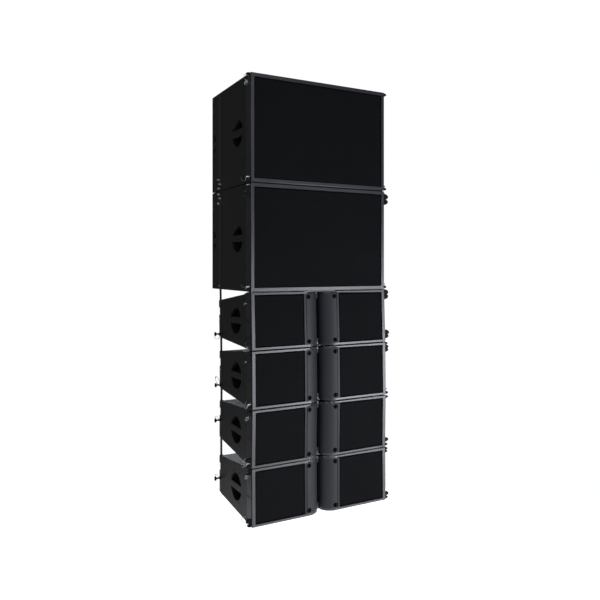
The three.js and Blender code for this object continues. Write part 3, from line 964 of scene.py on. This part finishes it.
HORN_CLEARANCE = 0.0003
HORN_DEPTH = 0.077
SLOT_LENGTH = 0.212
horn_xs = (HORN_CLEARANCE - TRIM_OUTER, TRIM_OUTER - HORN_CLEARANCE)
horn = tapered("horn", horn_xs, (FRONT, FRONT + HORN_DEPTH), MODULE_WALL + HORN_CLEARANCE)
slot_low = (-SLOT_HALF, FRONT + 0.05, MODULE_MIDDLE - SLOT_LENGTH / 2)
slot_high = (SLOT_HALF, FRONT + 0.09, MODULE_MIDDLE + SLOT_LENGTH / 2)
cut(horn, flare_cutter(), block("slot", slot_low, slot_high))
for side in (-1, 1):
    xs = (TRIM_INNER - 0.0012, TRIM_INNER + 0.0016)
    cut(horn, side_block("groove", side, xs, (FRONT - 0.01, FRONT + 0.0040), (MODULE_BOTTOM, TOP)))
round_edges(horn, 0.0009, 2, 50)
horn.data.materials.clear()
horn.data.materials.append(horn_plastic)
horn.data.materials.append(trim_paint)
for face in horn.data.polygons:
    on_trim = abs(face.center.x) > TRIM_INNER + 0.0015 and face.center.y < FRONT + 0.002
    face.material_index = 1 if on_trim else 0
smooth(horn)

# A rubber plug is turned with a soft rim and a shallow dimple.


def fasten(name, material, parts):
    """Joins loose parts of one material into one piece."""
    choose(*parts)
    if len(parts) > 1:
        bpy.ops.object.join()
    piece = bpy.context.object
    piece.name = name
    piece.data.materials.clear()
    piece.data.materials.append(material)
    for face in piece.data.polygons:
        face.material_index = 0
    return smooth(piece)


def dimple(piece, rule, thickness, depth):
    """Insets the faces a rule picks and pushes them in."""
    for face in piece.data.polygons:
        face.select = rule(face.center, face.normal)
    choose(piece)
    bpy.ops.object.mode_set(mode="EDIT")
    bpy.ops.mesh.select_mode(type="FACE")
    bpy.ops.mesh.inset(thickness=thickness, depth=-depth)
    bpy.ops.object.mode_set(mode="OBJECT")
    return piece


PLUG_RADIUS = 0.0118
plugs = []
for side in (-1, 1):
    for z in (TOP - 0.0285, MODULE_BOTTOM + 0.0285):
        x = side * (TRIM_INNER - PLUG_RADIUS - 0.0006)
        plug = drum("plug", PLUG_RADIUS, "Y", (x, FRONT - 0.0004, z), (x, FRONT + 0.005, z), 40)
        round_edges(plug, 0.0012, 3)
        dimple(plug, lambda point, normal: normal.y < -0.99 and point.y < FRONT, 0.004, 0.0006)
        plugs.append(plug)
plugs = fasten("plugs", rubber, plugs)

for number in range(1, 5):
    box = f"module_{number}"
    hang(copy_of(horn, f"{box}_horn"), box, "horn", None, f"{box}_waveguide")
    hang(copy_of(plugs, f"{box}_plugs"), box, "horn")
    for label in ("left", "right"):
        low, high = own_box(f"{box}_grille_{label}", places[box])
        gap = Vector((SHADOW_GAP, 0, SHADOW_GAP + 0.0013))
        pan = grille(f"{box}_front_{label}", low + gap, high - gap, 0.005)
        hang(pan, box, "grille", None, f"{box}_grille_{label}")
bpy.data.objects.remove(horn)
bpy.data.objects.remove(plugs)

# In each gap between two boxes a near-black felt strip is glued to the lower box, just in front of the
# hinges, and another to the upper one, just behind them. Taller strips stand behind each horn. The
# strips and their near-black colour are painted shade that darkens the gaps between the boxes.

# Near-black felt: painted shade for the gaps between the boxes.
gap_shade_felt, finish = new_finish("near-black felt, painted gap shade")
spot = object_place(finish)
nap = noise(finish, spot, 900.0, 6.0, 0.8)
gap_shade_tone = blend(finish, nap, (0.0016, 0.0016, 0.0018), (0.0050, 0.0050, 0.0055))
felt_bump = relief(finish, nap, 0.8, 0.0008)
painted(finish, Base_Color=gap_shade_tone, Roughness=nap * 0.1 + 0.88, Normal=felt_bump, Specular_IOR_Level=0.05)

chain = ["sub_1", "sub_2", "module_1", "module_2", "module_3", "module_4"]
last_step = len(chain) - 1
FELT_SUNK = 0.0004
SIDE_FELT_PROUD = 0.0019
TOP_FELT_Y = (-0.006, -0.001)
FOOT_FELT_Y = (0.007, 0.012)
MIDDLE_FELT_PROUD = 0.0050
MIDDLE_FELT_HALF = 0.130
middle_y = FRONT + FLARE_DEPTH + 0.003
for step, box in enumerate(chain):
    is_sub = box.startswith("sub")
    xs = (0.0 if is_sub else TRIM_INNER + 0.002, HALF - 0.014)
    strips = []
    for side in (-1, 1):
        if step > 0:
            top = TOP if is_sub else top_at(TOP_FELT_Y[1])
            zs = (top - FELT_SUNK, TOP + SIDE_FELT_PROUD)
            strips.append(side_block("gap_shade_felt", side, xs, TOP_FELT_Y, zs))
        if step < last_step:
            foot = SUB_BOTTOM if is_sub else MODULE_BOTTOM
            root = SUB_BOTTOM if is_sub else bottom_at(FOOT_FELT_Y[1])
            zs = (foot - SIDE_FELT_PROUD, root + FELT_SUNK)
            strips.append(side_block("gap_shade_felt", side, xs, FOOT_FELT_Y, zs))
    if not is_sub:
        ys = (middle_y, middle_y + 0.008)
        low = (-MIDDLE_FELT_HALF, ys[0], top_at(ys[1]) - FELT_SUNK)
        high = (MIDDLE_FELT_HALF, ys[1], top_at(ys[0]) + MIDDLE_FELT_PROUD)
        strips.append(block("gap_shade_felt", low, high))
    if 1 <= step < last_step:
        ys = (middle_y + 0.017, middle_y + 0.025)
        foot = (SUB_BOTTOM, SUB_BOTTOM) if is_sub else (bottom_at(ys[0]), bottom_at(ys[1]))
        low = (-MIDDLE_FELT_HALF, ys[0], foot[0] - MIDDLE_FELT_PROUD)
        high = (MIDDLE_FELT_HALF, ys[1], foot[1] + FELT_SUNK)
        strips.append(block("gap_shade_felt", low, high))
    for strip in strips:
        round_edges(strip, 0.0006, 2, 50)
    hang(fasten(f"{box}_felt", gap_shade_felt, strips), box, "cabinet_paint")

# ---- Rigging plates ------------------------------------------------------------------------------
# Black powder-coated steel plates are screwed to both sides of every box: a wide one at the front
# with the hinge, and a narrow one at the rear for the links. Flat-headed screws hold them.

black_steel, finish = new_finish("black coated steel")
spot = object_place(finish)
speckle = noise(finish, spot, 850.0, 3.0)
patch = noise(finish, spot, 24.0, 6.0, 0.7)
rubbed = patch.rise(0.60, 0.72)
steel_tone = blend(finish, speckle, (0.0085, 0.0085, 0.0095), (0.0135, 0.0135, 0.0150))
steel_worn = blend(finish, rubbed * 0.35, steel_tone, (0.09, 0.09, 0.095))
steel_bump = relief(finish, speckle, 0.22, 0.0004)
steel_rough = 0.40 - rubbed * 0.10 + speckle * 0.08
painted(finish, Base_Color=steel_worn, Roughness=steel_rough, Metallic=rubbed * 0.5, Normal=steel_bump)

zinc, finish = new_finish("bright zinc")
spot = object_place(finish)
spangle = cells(finish, spot, 260.0)
turning = noise(finish, spot, 1500.0, 2.0)
zinc_tone = blend(finish, spangle, (0.62, 0.63, 0.66), (0.82, 0.83, 0.86))
zinc_bump = relief(finish, turning, 0.12, 0.0003)
painted(finish, Base_Color=zinc_tone, Metallic=1.0, Roughness=spangle * 0.12 + 0.20, Normal=zinc_bump)

PLATE_PROUD = 0.0014
PLATE_MARGIN = 0.006
FRONT_PLATE_Y = (FRONT + 0.006, FRONT + 0.061)
REAR_PLATE_Y = (LINK_Y - 0.024, LINK_Y + 0.010)
FRONT_SCREWS_Y = (FRONT_PLATE_Y[0] + 0.007, FRONT_PLATE_Y[1] - 0.007)
REAR_SCREWS_Y = (REAR_PLATE_Y[0] + 0.006,)
SIGHT_HOLE_Y = 0.012
SIGHT_HOLE_RADIUS = 0.0075
CUP_SCREW_CIRCLE = HANDLE_RADIUS + 0.011
CUP_SCREWS = 8


def rounded_plate(name, side, ys, zs, tilted, radius=0.006):
    """A steel plate on one side of a box, with rounded corners, following the taper if tilted."""
    xs = sorted(side * x for x in (HALF - 0.0004, HALF + PLATE_PROUD))
    if tilted:
        plate = tapered(name, xs, ys, PLATE_MARGIN)
    else:
        plate = block(name, (xs[0], ys[0], zs[0]), (xs[1], ys[1], zs[1]))
    choose(plate)
    bpy.ops.object.mode_set(mode="EDIT")
    bpy.ops.mesh.select_all(action="DESELECT")
    bpy.ops.object.mode_set(mode="OBJECT")
    for edge in plate.data.edges:
        run = plate.data.vertices[edge.vertices[0]].co - plate.data.vertices[edge.vertices[1]].co
        edge.select = abs(run.x) > 0.9 * run.length
    bpy.ops.object.mode_set(mode="EDIT")
    bpy.ops.mesh.select_mode(type="EDGE")
    bpy.ops.mesh.bevel(offset=radius, segments=5)
    bpy.ops.object.mode_set(mode="OBJECT")
    return plate


# A screw's head is a chamfered disc with a six-sided socket, turned to face right.

SCREW_RADIUS = 0.0042
master_screw = drum("screw", SCREW_RADIUS, "X", (0, 0, 0), (0.0016, 0, 0), 20)
round_edges(master_screw, 0.0005, 2, 60)
cut(master_screw, drum("socket", SCREW_RADIUS * 0.52, "X", (0.0005, 0, 0), (0.004, 0, 0), 6))


def placed_copy(master, name, transform):
    """A copy of a small part, moved and turned in its mesh."""
    twin = copy_of(master, name)
    twin.matrix_world = transform
    choose(twin)
    bpy.ops.object.transform_apply(location=True, rotation=True, scale=True)
    return twin


def side_screw(side, y, z, proud):
    turn = Matrix.Rotation(0.0 if side > 0 else math.pi, 4, "Z")
    place = Matrix.Translation((side * (HALF + proud - 0.0002), y, z))
    return placed_copy(master_screw, "screw", place @ turn)


def rear_screw(x, y, z, scale):
    turn = Matrix.Rotation(math.radians(90), 4, "Z") @ Matrix.Scale(scale, 4)
    return placed_copy(master_screw, "screw", Matrix.Translation((x, y, z)) @ turn)


SCREW_STEP = 0.11
SCREW_END = 0.016


def screw_heights(top, bottom):
    """Evenly spaced heights of a plate's screws, from near its bottom to near its top."""
    count = max(2, round((top - bottom) / SCREW_STEP))
    run = top - bottom - 2 * SCREW_END
    return [bottom + SCREW_END + run * step / count for step in range(count + 1)]


def side_fittings(kind, middle, height, handle_y, tilted):
    """The plates and screws of both sides of a box, made once for its kind."""
    zs = (middle - height / 2 + PLATE_MARGIN, middle + height / 2 - PLATE_MARGIN)
    through = (HALF - 0.01, HALF + 0.01)
    plates, screws = [], []
    for side in (-1, 1):
        front = rounded_plate("front plate", side, FRONT_PLATE_Y, zs, tilted)
        cut(front, side_drum("sight hole", side, SIGHT_HOLE_RADIUS, through, SIGHT_HOLE_Y, middle, 32))
        rear = rounded_plate("rear plate", side, REAR_PLATE_Y, zs, tilted, 0.004)
        if tilted:
            cut(rear, side_block("notch", side, through, notch_y, notch_z))
        for plate in (front, rear):
            round_edges(plate, 0.0005, 2, 50)
        plates += [front, rear]
        for plate_y, columns in ((FRONT_PLATE_Y, FRONT_SCREWS_Y), (REAR_PLATE_Y, REAR_SCREWS_Y)):
            fall = (plate_y[1] - FRONT) * math.tan(TAPER) if tilted else 0
            for z in screw_heights(zs[1] - fall, zs[0] + fall):
                for y in columns:
                    if math.hypot(y - SIGHT_HOLE_Y, z - middle) > 2 * SIGHT_HOLE_RADIUS:
                        screws.append(side_screw(side, y, z, PLATE_PROUD))
        for step in range(CUP_SCREWS):
            angle = math.radians(360 / CUP_SCREWS * (step + 0.5))
            y = handle_y + CUP_SCREW_CIRCLE * math.cos(angle)
            z = middle + CUP_SCREW_CIRCLE * math.sin(angle)
            screws.append(side_screw(side, y, z, 0.0))
    return fasten(f"{kind} plates", black_steel, plates), fasten(f"{kind} screws", black_steel, screws)


kinds = {
    "sub": side_fittings("sub", SUB_MIDDLE, SUB_HEIGHT, SUB_HANDLE_Y, False),
    "module": side_fittings("module", MODULE_MIDDLE, MODULE_HEIGHT, MODULE_HANDLE_Y, True),
}
for box in places:
    for fitting, label in zip(kinds[box.split("_")[0]], ("plates", "screws")):
        hang(copy_of(fitting, f"{box}_{label}"), box, "rigging_steel")
for pair in kinds.values():
    for fitting in pair:
        bpy.data.objects.remove(fitting)

# ---- Corner latches ------------------------------------------------------------------------------
# Moulded black wings turn the locking cams at the front corners of each junction, next to bright
# push-button pins. They stand out of the sides and are the same left and right.

latch_nylon, finish = new_finish("black glass-filled nylon")
spot = object_place(finish)
mottle = noise(finish, spot, 320.0, 5.0, 0.65)
nylon_tone = blend(finish, mottle, (0.0016, 0.0016, 0.0020), (0.0040, 0.0040, 0.0047))
nylon_bump = relief(finish, mottle, 0.25, 0.0004)
nylon_rough = mottle * 0.15 + 0.52
painted(finish, Base_Color=nylon_tone, Roughness=nylon_rough, Normal=nylon_bump, Specular_IOR_Level=0.14)

FACE = HALF + PLATE_PROUD


def latch_wing(side, radius, thickness, reach):
    """An oval grip with a raised rib, standing on a side at the level of the hinge."""
    half = thickness / 2
    wing = drum("wing", radius, "Y", (side * FACE, -half, 0), (side * FACE, half, 0), 40)
    rib = drum("rib", radius * 0.6, "Y", (side * FACE, -half - 0.002, 0), (side * FACE, half + 0.002, 0), 28)
    for part, edge in ((wing, 0.0025), (rib, 0.001)):
        choose(part)
        bpy.ops.transform.resize(value=(reach / radius, 1, 1), center_override=(side * FACE, 0, 0))
        bpy.ops.object.transform_apply(location=True, rotation=True, scale=True)
        slice_off(part, (side * FACE, 0, 0), (-side, 0, 0))
        round_edges(part, edge, 3, 50)
    return weld(wing, rib)


def button_pin(side, y, z, reach, radius=0.0052):
    """A turned pin head: a collar, and a neck with a rounded end."""
    root = FACE - 0.0005
    collar = side_drum("collar", side, radius * 1.35, (root, FACE + 0.0028), y, z, 28)
    round_edges(collar, 0.0006, 2, 50)
    neck = side_drum("neck", side, radius, (root, FACE + reach), y, z, 28)
    round_edges(neck, 0.0014, 3, 50)
    return weld(collar, neck)


def wire_loop(side, x, y, z, half_width, half_height, lean=0.0, wire=0.0009):
    """A closed loop of spring wire that stands out from a side."""
    bpy.ops.object.select_all(action="DESELECT")
    bpy.ops.mesh.primitive_torus_add(
        major_radius=half_width,
        minor_radius=wire,
        major_segments=44,
        minor_segments=10,
        location=(side * x, y, z),
        rotation=(math.radians(90), side * lean, side * 0.35),
    )
    loop = bpy.context.object
    loop.scale = (1, half_height / half_width, 1)
    return settle("loop")


# Each size of grip is a radius, a thickness and a reach. Each box has a list of the grips below its
# top and one of those above its bottom, with how far the middle of each is from there.
GRIP_SIZES = {
    "small": (0.0085, 0.009, 0.0200),
    "middle": (0.0125, 0.011, 0.0260),
    "large": (0.0170, 0.012, 0.0310),
}
GRIPS = {
    "sub_1": ((("small", 0.009),), (("small", 0.010),)),
    "sub_2": ((("large", 0.030), ("large", 0.058)), (("small", 0.012),)),
    "module_1": ((("large", 0.014), ("large", 0.037)), (("middle", 0.030), ("large", 0.050))),
    "module_2": ((("small", 0.006), ("middle", 0.025), ("middle", 0.042)), (("small", 0.009),)),
    "module_3": ((("small", 0.010),), (("small", 0.012), ("middle", 0.038))),
    "module_4": ((("small", 0.008), ("small", 0.024)), (("small", 0.010), ("middle", 0.030))),
}
masters = {(name, side): latch_wing(side, *size) for name, size in GRIP_SIZES.items() for side in (-1, 1)}


def latch_pins(box, bottom):
    """The push-button pins and wire loops beside the grips of one box, on both sides."""
    pins = []
    for side in (-1, 1):
        pins += [
            button_pin(side, -0.006, bottom + 0.026, 0.016),
            button_pin(side, 0.016, bottom + 0.017, 0.010, 0.004),
            wire_loop(side, FACE + 0.011, -0.006, bottom + 0.0205, 0.0075, 0.0085),
            button_pin(side, -0.007, TOP - 0.012, 0.014, 0.0045),
            button_pin(side, 0.017, TOP - 0.041, 0.011, 0.0042),
            wire_loop(side, FACE + 0.008, 0.017, TOP - 0.0465, 0.0065, 0.0080),
        ]
        if box == "sub_1":
            pins.append(wire_loop(side, HALF + 0.008, 0.020, TOP - 0.0165, 0.0100, 0.0150, 0.3))
    return fasten(f"{box}_latch_pins", zinc, pins)


for box in chain:
    bottom = SUB_BOTTOM if box.startswith("sub") else MODULE_BOTTOM
    wings = []
    for heights, level, way in zip(GRIPS[box], (TOP, bottom), (-1, 1)):
        for step, (size, height) in enumerate(heights):
            for side in (-1, 1):
                place = Matrix.Translation((0, 0.002 * step - 0.013, level + way * height))
                wings.append(placed_copy(masters[size, side], "wing", place))
    hang(fasten(f"{box}_latches", latch_nylon, wings), box, "rigging_steel")
    hang(latch_pins(box, bottom), box, "pin_steel")
for wing in masters.values():
    bpy.data.objects.remove(wing)

# ---- Tongues and hinge pins ----------------------------------------------------------------------
# A steel tongue rises from the front of each lower box into the box above, and turns on a hinge pin
# there. The pins belong to the upper box; the last box has them too, ready for one more.

STEEL_INNER = HALF - 0.0085
STEEL_OUTER = HALF - 0.003
HINGE_RADIUS = 0.006

tongues = []
for side in (-1, 1):
    xs = (STEEL_INNER, STEEL_OUTER)
    tongue = side_block("tongue", side, xs, (-TONGUE_RADIUS, TONGUE_RADIUS), (TOP - 0.014, 0))
    weld(tongue, side_drum("eye", side, TONGUE_RADIUS, xs, 0, 0))
    cut(tongue, side_drum("bore", side, HINGE_RADIUS + 0.0005, (0.38, 0.41), 0, 0, 32))
    tongues.append(round_edges(tongue, 0.0005, 2, 50))
tongues = fasten("tongues", black_steel, tongues)
hinges = []
for side in (-1, 1):
    pin = side_drum("hinge", side, HINGE_RADIUS, (RAIL_INNER - 0.001, FACE + 0.003), 0, 0, 32)
    hinges.append(round_edges(pin, 0.001, 2, 50))
hinges = fasten("hinge pins", zinc, hinges)

for above, box in zip(chain, chain[1:]):
    hang(copy_of(tongues, f"{box}_tongues"), box, "rigging_steel")
    hang(copy_of(hinges, f"{box}_hinge_pins"), box, "pin_steel", bodies[above])
NEXT_HINGE_RISE = 0.026
places["next"] = places["module_4"] @ Matrix.Translation((0, 0, MODULE_BOTTOM + NEXT_HINGE_RISE))
hang(copy_of(hinges, "next_hinge_pins"), "next", "pin_steel", "module_4")
bpy.data.objects.remove(tongues)
bpy.data.objects.remove(hinges)

# ---- Rear links ----------------------------------------------------------------------------------
# A flat steel bar hangs from a pivot at the rear of each box. Its long slot slides on the lock pin
# of the box below, and the slot's end sets how far that box may drop.

LINK_RADIUS = 0.010
LINK_SLOT_RADIUS = 0.0056
SLOT_TRAVEL = (0.058, 0.070, 0.064, 0.086)
PIVOTS = [hinge_of(f"link_{number}_left") for number in range(1, 5)]


def link_bar(side, length, travel):
    """One slotted bar, made hanging straight down from its pivot."""
    xs = (STEEL_INNER, STEEL_OUTER)
    through = (STEEL_INNER - 0.01, STEEL_OUTER + 0.01)
    foot = -length - 0.001
    slot_top = travel - length
    bar = side_block("link", side, xs, (-LINK_RADIUS, LINK_RADIUS), (foot, 0))
    slot = side_block("slot", side, through, (-LINK_SLOT_RADIUS, LINK_SLOT_RADIUS), (foot, slot_top))
    for z in (0, foot):
        weld(bar, side_drum("round", side, LINK_RADIUS, xs, 0, z, 40))
    for z in (foot, slot_top):
        weld(slot, side_drum("round", side, LINK_SLOT_RADIUS, through, 0, z, 40))
    cut(bar, slot, side_drum("bore", side, LINK_PIN_RADIUS + 0.0005, through, 0, 0, 40))
    return round_edges(bar, 0.0006, 2, 50)


for number, pivot in enumerate(PIVOTS, 1):
    lock = places[f"module_{number}"] @ Vector((0, LINK_Y, lock_height(number)))
    run = lock - pivot
    turn = Matrix.Rotation(math.atan2(run.y, -run.z), 4, "X")
    places[f"link_{number}"] = Matrix.Translation(pivot) @ turn
    for side, label in ((-1, "left"), (1, "right")):
        bar = link_bar(side, run.length, SLOT_TRAVEL[number - 1])
        bar = fasten(f"link_{number}_{label}", black_steel, [bar])
        node = f"module_{number}_link_{label}"
        hang(bar, f"link_{number}", "rigging_steel", f"{node}_body", node)

# The two subwoofers are tied by short plain bars with a hole at each end.

for side, label in ((-1, "left"), (1, "right")):
    low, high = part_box(f"sub_link_{label}")
    bar = block("tie", low, high)
    for z in (low.z + 0.030, high.z - 0.030):
        ends = [(x, (low.y + high.y) / 2, z) for x in (low.x - 0.01, high.x + 0.01)]
        cut(bar, drum("bore", 0.0045, "X", *ends, 32))
    round_edges(bar, 0.0008, 2, 50)
    bar = fasten(f"sub_tie_{label}", black_steel, [bar])
    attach(bar, SUB_BODY)
    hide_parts(f"sub_link_{label}")

# Fixed pins cross the slots in the sides: one near the bottom that the next link turns on, and one
# half way up that the box's own link is locked to, apart from where a pulled pin does that work.

for box in chain[1:]:
    number = int(box[-1])
    heights = [SUB_BOTTOM + LINK_PIVOT_RISE]
    if box.startswith("module"):
        heights = [z for z in (module_pivot, lock_height(number)) if z != pull_height(number)]
    if box == chain[-1]:
        heights = []
    pins = []
    for z in heights:
        for side in (-1, 1):
            xs = (RAIL_INNER - 0.001, FACE + 0.002)
            pin = side_drum("pin", side, LINK_PIN_RADIUS, xs, LINK_Y, z, 28)
            pins.append(round_edges(pin, 0.0009, 2, 50))
    if pins:
        hang(fasten(f"{box}_link_pins", zinc, pins), box, "pin_steel")

# Bright pin heads hold the ends of the tie bars.

TIE_PIN_HEIGHTS = {
    "sub_1": (SUB_BOTTOM + 0.014, SUB_BOTTOM + 0.036, SUB_BOTTOM + 0.062),
    "sub_2": (TOP - 0.016, TOP - 0.040, TOP - 0.066),
}
for box, zs in TIE_PIN_HEIGHTS.items():
    heads = []
    for side in (-1, 1):
        for z, y in zip(zs, (LINK_Y + 0.004, LINK_Y - 0.016, LINK_Y + 0.006)):
            heads.append(button_pin(side, y, z, 0.010, 0.0042))
    hang(fasten(f"{box}_tie_pins", zinc, heads), box, "pin_steel")

# ---- Quick-release pins --------------------------------------------------------------------------
# A pulled pin on each side of a module holds a rear link, at its pivot or at its lock. It is a steel
# shaft with a black collar, a black cross handle and a wire bail.

# A wire bail hangs below the first handle and stands up from the others. Each row is how far it
# stands out and up, half its width and height, and its lean.
BAILS = (
    (0.0190, -0.0150, 0.0130, 0.0140, 0.0),
    (0.0175, 0.0235, 0.0085, 0.0235, 0.4),
    (0.0210, 0.0100, 0.0075, 0.0120, 0.5),
    (0.0210, 0.0105, 0.0075, 0.0125, 0.5),
)

for number in range(1, 5):
    box = f"module_{number}"
    z = pull_height(number)
    reach, rise, *loop = BAILS[number - 1]
    for side, label in ((-1, "left"), (1, "right")):
        shaft = side_drum("shaft", side, LINK_PIN_RADIUS, (HALF - 0.015, HALF + 0.005), LINK_Y, z, 28)
        round_edges(shaft, 0.0008, 2, 50)
        ring = wire_loop(side, HALF + reach, LINK_Y, z + rise, *loop, wire=0.0011)
        bright = fasten(f"{box}_pin_shaft_{label}", zinc, [shaft, ring])
        collar = side_drum("collar", side, 0.0075, (HALF + 0.0003, HALF + 0.0068), LINK_Y, z, 32)
        round_edges(collar, 0.0010, 3, 50)
        neck = side_drum("neck", side, 0.0046, (HALF + 0.004, HALF + 0.026), LINK_Y, z, 28)
        cross_y = (LINK_Y - 0.006, LINK_Y + 0.006)
        cross = side_block("cross", side, (HALF + 0.0235, HALF + 0.0338), cross_y, (z - 0.011, z + 0.011))
        round_edges(cross, 0.0036, 4, 50)
        grip = fasten(f"{box}_pin_grip_{label}", latch_nylon, [weld(collar, neck, cross)])
        body = f"{box}_pin_{label}_body"
        hang(bright, box, "pin_steel", body)
        hang(grip, box, "pin_steel", body, f"{box}_pin_{label}")

# ---- Connection plates ---------------------------------------------------------------------------
# An anodised plate on the back of each box holds two round twist-lock sockets for the loudspeaker
# cable, with a ring of screws round the plate and four round each socket.

anodised, finish = new_finish("black anodised plate")
spot = object_place(finish)
stretch = finish.node("ShaderNodeMapping", {}, {"Vector": spot, "Scale": (30.0, 900.0, 900.0)})
brushed = noise(finish, stretch, 1.0, 4.0)
smear = noise(finish, spot, 14.0, 5.0)
plate_tone = blend(finish, brushed, (0.012, 0.012, 0.014), (0.022, 0.022, 0.025))
plate_bump = relief(finish, brushed, 0.10, 0.0003)
painted(finish, Base_Color=plate_tone, Metallic=0.6, Roughness=smear * 0.16 + 0.32, Normal=plate_bump)


SOCKET_X = 0.038
SOCKET_HALF = 0.019
SOCKET_SCREW = 0.0152
KEYWAY_CIRCLE = 0.0122
PLATE_SCREW_INSET = 0.009


def connection_plate(kind, half_x, half_z, middle, face, tray, columns):
    """The plate with its tray, its two sockets and its screws, made once for each kind of box."""
    plate = block("plate", (-half_x, face, middle - half_z), (half_x, face + 0.003, middle + half_z))
    round_edges(plate, 0.0008, 2, 50)
    tray_x, tray_z, tray_depth = tray
    low = (-tray_x, face - tray_depth, middle - tray_z)
    weld(plate, block("tray", low, (tray_x, face + 0.001, middle + tray_z)))
    sockets, screws = [], []
    for x in (-SOCKET_X, SOCKET_X):
        low = (x - SOCKET_HALF, face + 0.0028, middle - SOCKET_HALF)
        flange = block("flange", low, (x + SOCKET_HALF, face + 0.0048, middle + SOCKET_HALF))
        round_edges(flange, 0.0045, 4, 50)
        barrel = drum("barrel", 0.0145, "Y", (x, face + 0.003, middle), (x, face + 0.0108, middle), 56)
        round_edges(barrel, 0.0012, 3, 50)
        weld(flange, barrel)
        cut(flange, drum("well", 0.0118, "Y", (x, face + 0.0045, middle), (x, face + 0.02, middle), 56))
        core = drum("core", 0.0072, "Y", (x, face + 0.004, middle), (x, face + 0.0098, middle), 40)
        round_edges(core, 0.0008, 2, 50)
        weld(flange, core)
        for angle in (90, 210, 330):
            key_x = x + KEYWAY_CIRCLE * math.cos(math.radians(angle))
            key_z = middle + KEYWAY_CIRCLE * math.sin(math.radians(angle))
            ends = [(key_x, y, key_z) for y in (face + 0.005, face + 0.02)]
            cut(flange, drum("keyway", 0.0018, "Y", *ends, 16))
        sockets.append(flange)
        for corner_x in (-SOCKET_SCREW, SOCKET_SCREW):
            for corner_z in (-SOCKET_SCREW, SOCKET_SCREW):
                screws.append(rear_screw(x + corner_x, face + 0.0046, middle + corner_z, 0.55))
    edge_x = half_x - PLATE_SCREW_INSET
    edge_z = half_z - PLATE_SCREW_INSET
    for x in (-edge_x, *columns, edge_x):
        for z in (middle - edge_z, middle + edge_z):
            screws.append(rear_screw(x, face + 0.0028, z, 0.9))
    return (
        fasten(f"{kind} plate", anodised, [plate]),
        fasten(f"{kind} sockets", latch_nylon, sockets),
        fasten(f"{kind} plate screws", zinc, screws),
    )


backs = {
    "sub": connection_plate(
        "sub",
        half_x=0.103,
        half_z=0.068,
        middle=SUB_MIDDLE,
        face=SUB_REAR - 0.0047,
        tray=(0.085, 0.050, 0.045),
        columns=(0,),
    ),
    "module": connection_plate(
        "module",
        half_x=0.165,
        half_z=0.062,
        middle=MODULE_MIDDLE,
        face=REAR_FACE + 0.0003,
        tray=(0.145, 0.044, 0.040),
        columns=(-0.055, 0.055),
    ),
}
for box in chain:
    plate, sockets, screws = backs[box.split("_")[0]]
    hang(copy_of(plate, f"{box}_back_plate"), box, "rear_plate", None, f"{box}_rear_panel")
    hang(copy_of(sockets, f"{box}_sockets"), box, "rear_plate")
    hang(copy_of(screws, f"{box}_plate_screws"), box, "pin_steel")
for made in backs.values():
    for fitting in made:
        bpy.data.objects.remove(fitting)
bpy.data.objects.remove(master_screw)

# ---- Drivers behind the grilles ------------------------------------------------------------------
# Cast aluminium frames and drivers, and pulp cones. They keep the model's own shapes, because the
# grilles hide them.

cast, finish = new_finish("cast aluminium, black")
spot = object_place(finish)
sand = noise(finish, spot, 500.0, 5.0, 0.7)
pour = noise(finish, spot, 18.0, 4.0)
cast_tone = blend(finish, pour, (0.020, 0.020, 0.022), (0.040, 0.040, 0.043))
cast_bump = relief(finish, sand, 0.5, 0.0007)
painted(finish, Base_Color=cast_tone, Metallic=0.55, Roughness=sand * 0.2 + 0.42, Normal=cast_bump)

pulp, finish = new_finish("doped paper cone")
spot = object_place(finish)
fibre = noise(finish, spot, 240.0, 8.0, 0.75, 1.5)
pulp_tone = blend(finish, fibre, (0.006, 0.006, 0.006), (0.018, 0.017, 0.016))
pulp_bump = relief(finish, fibre, 0.6, 0.0008)
painted(finish, Base_Color=pulp_tone, Roughness=fibre * 0.2 + 0.70, Normal=pulp_bump)

for name, node in frame["nodes"].items():
    if name.endswith("woofer_cone"):
        inner_finish = pulp
    elif "woofer" in name or name.endswith("hf_driver"):
        inner_finish = cast
    else:
        continue
    node.data.materials.clear()
    node.data.materials.append(inner_finish)
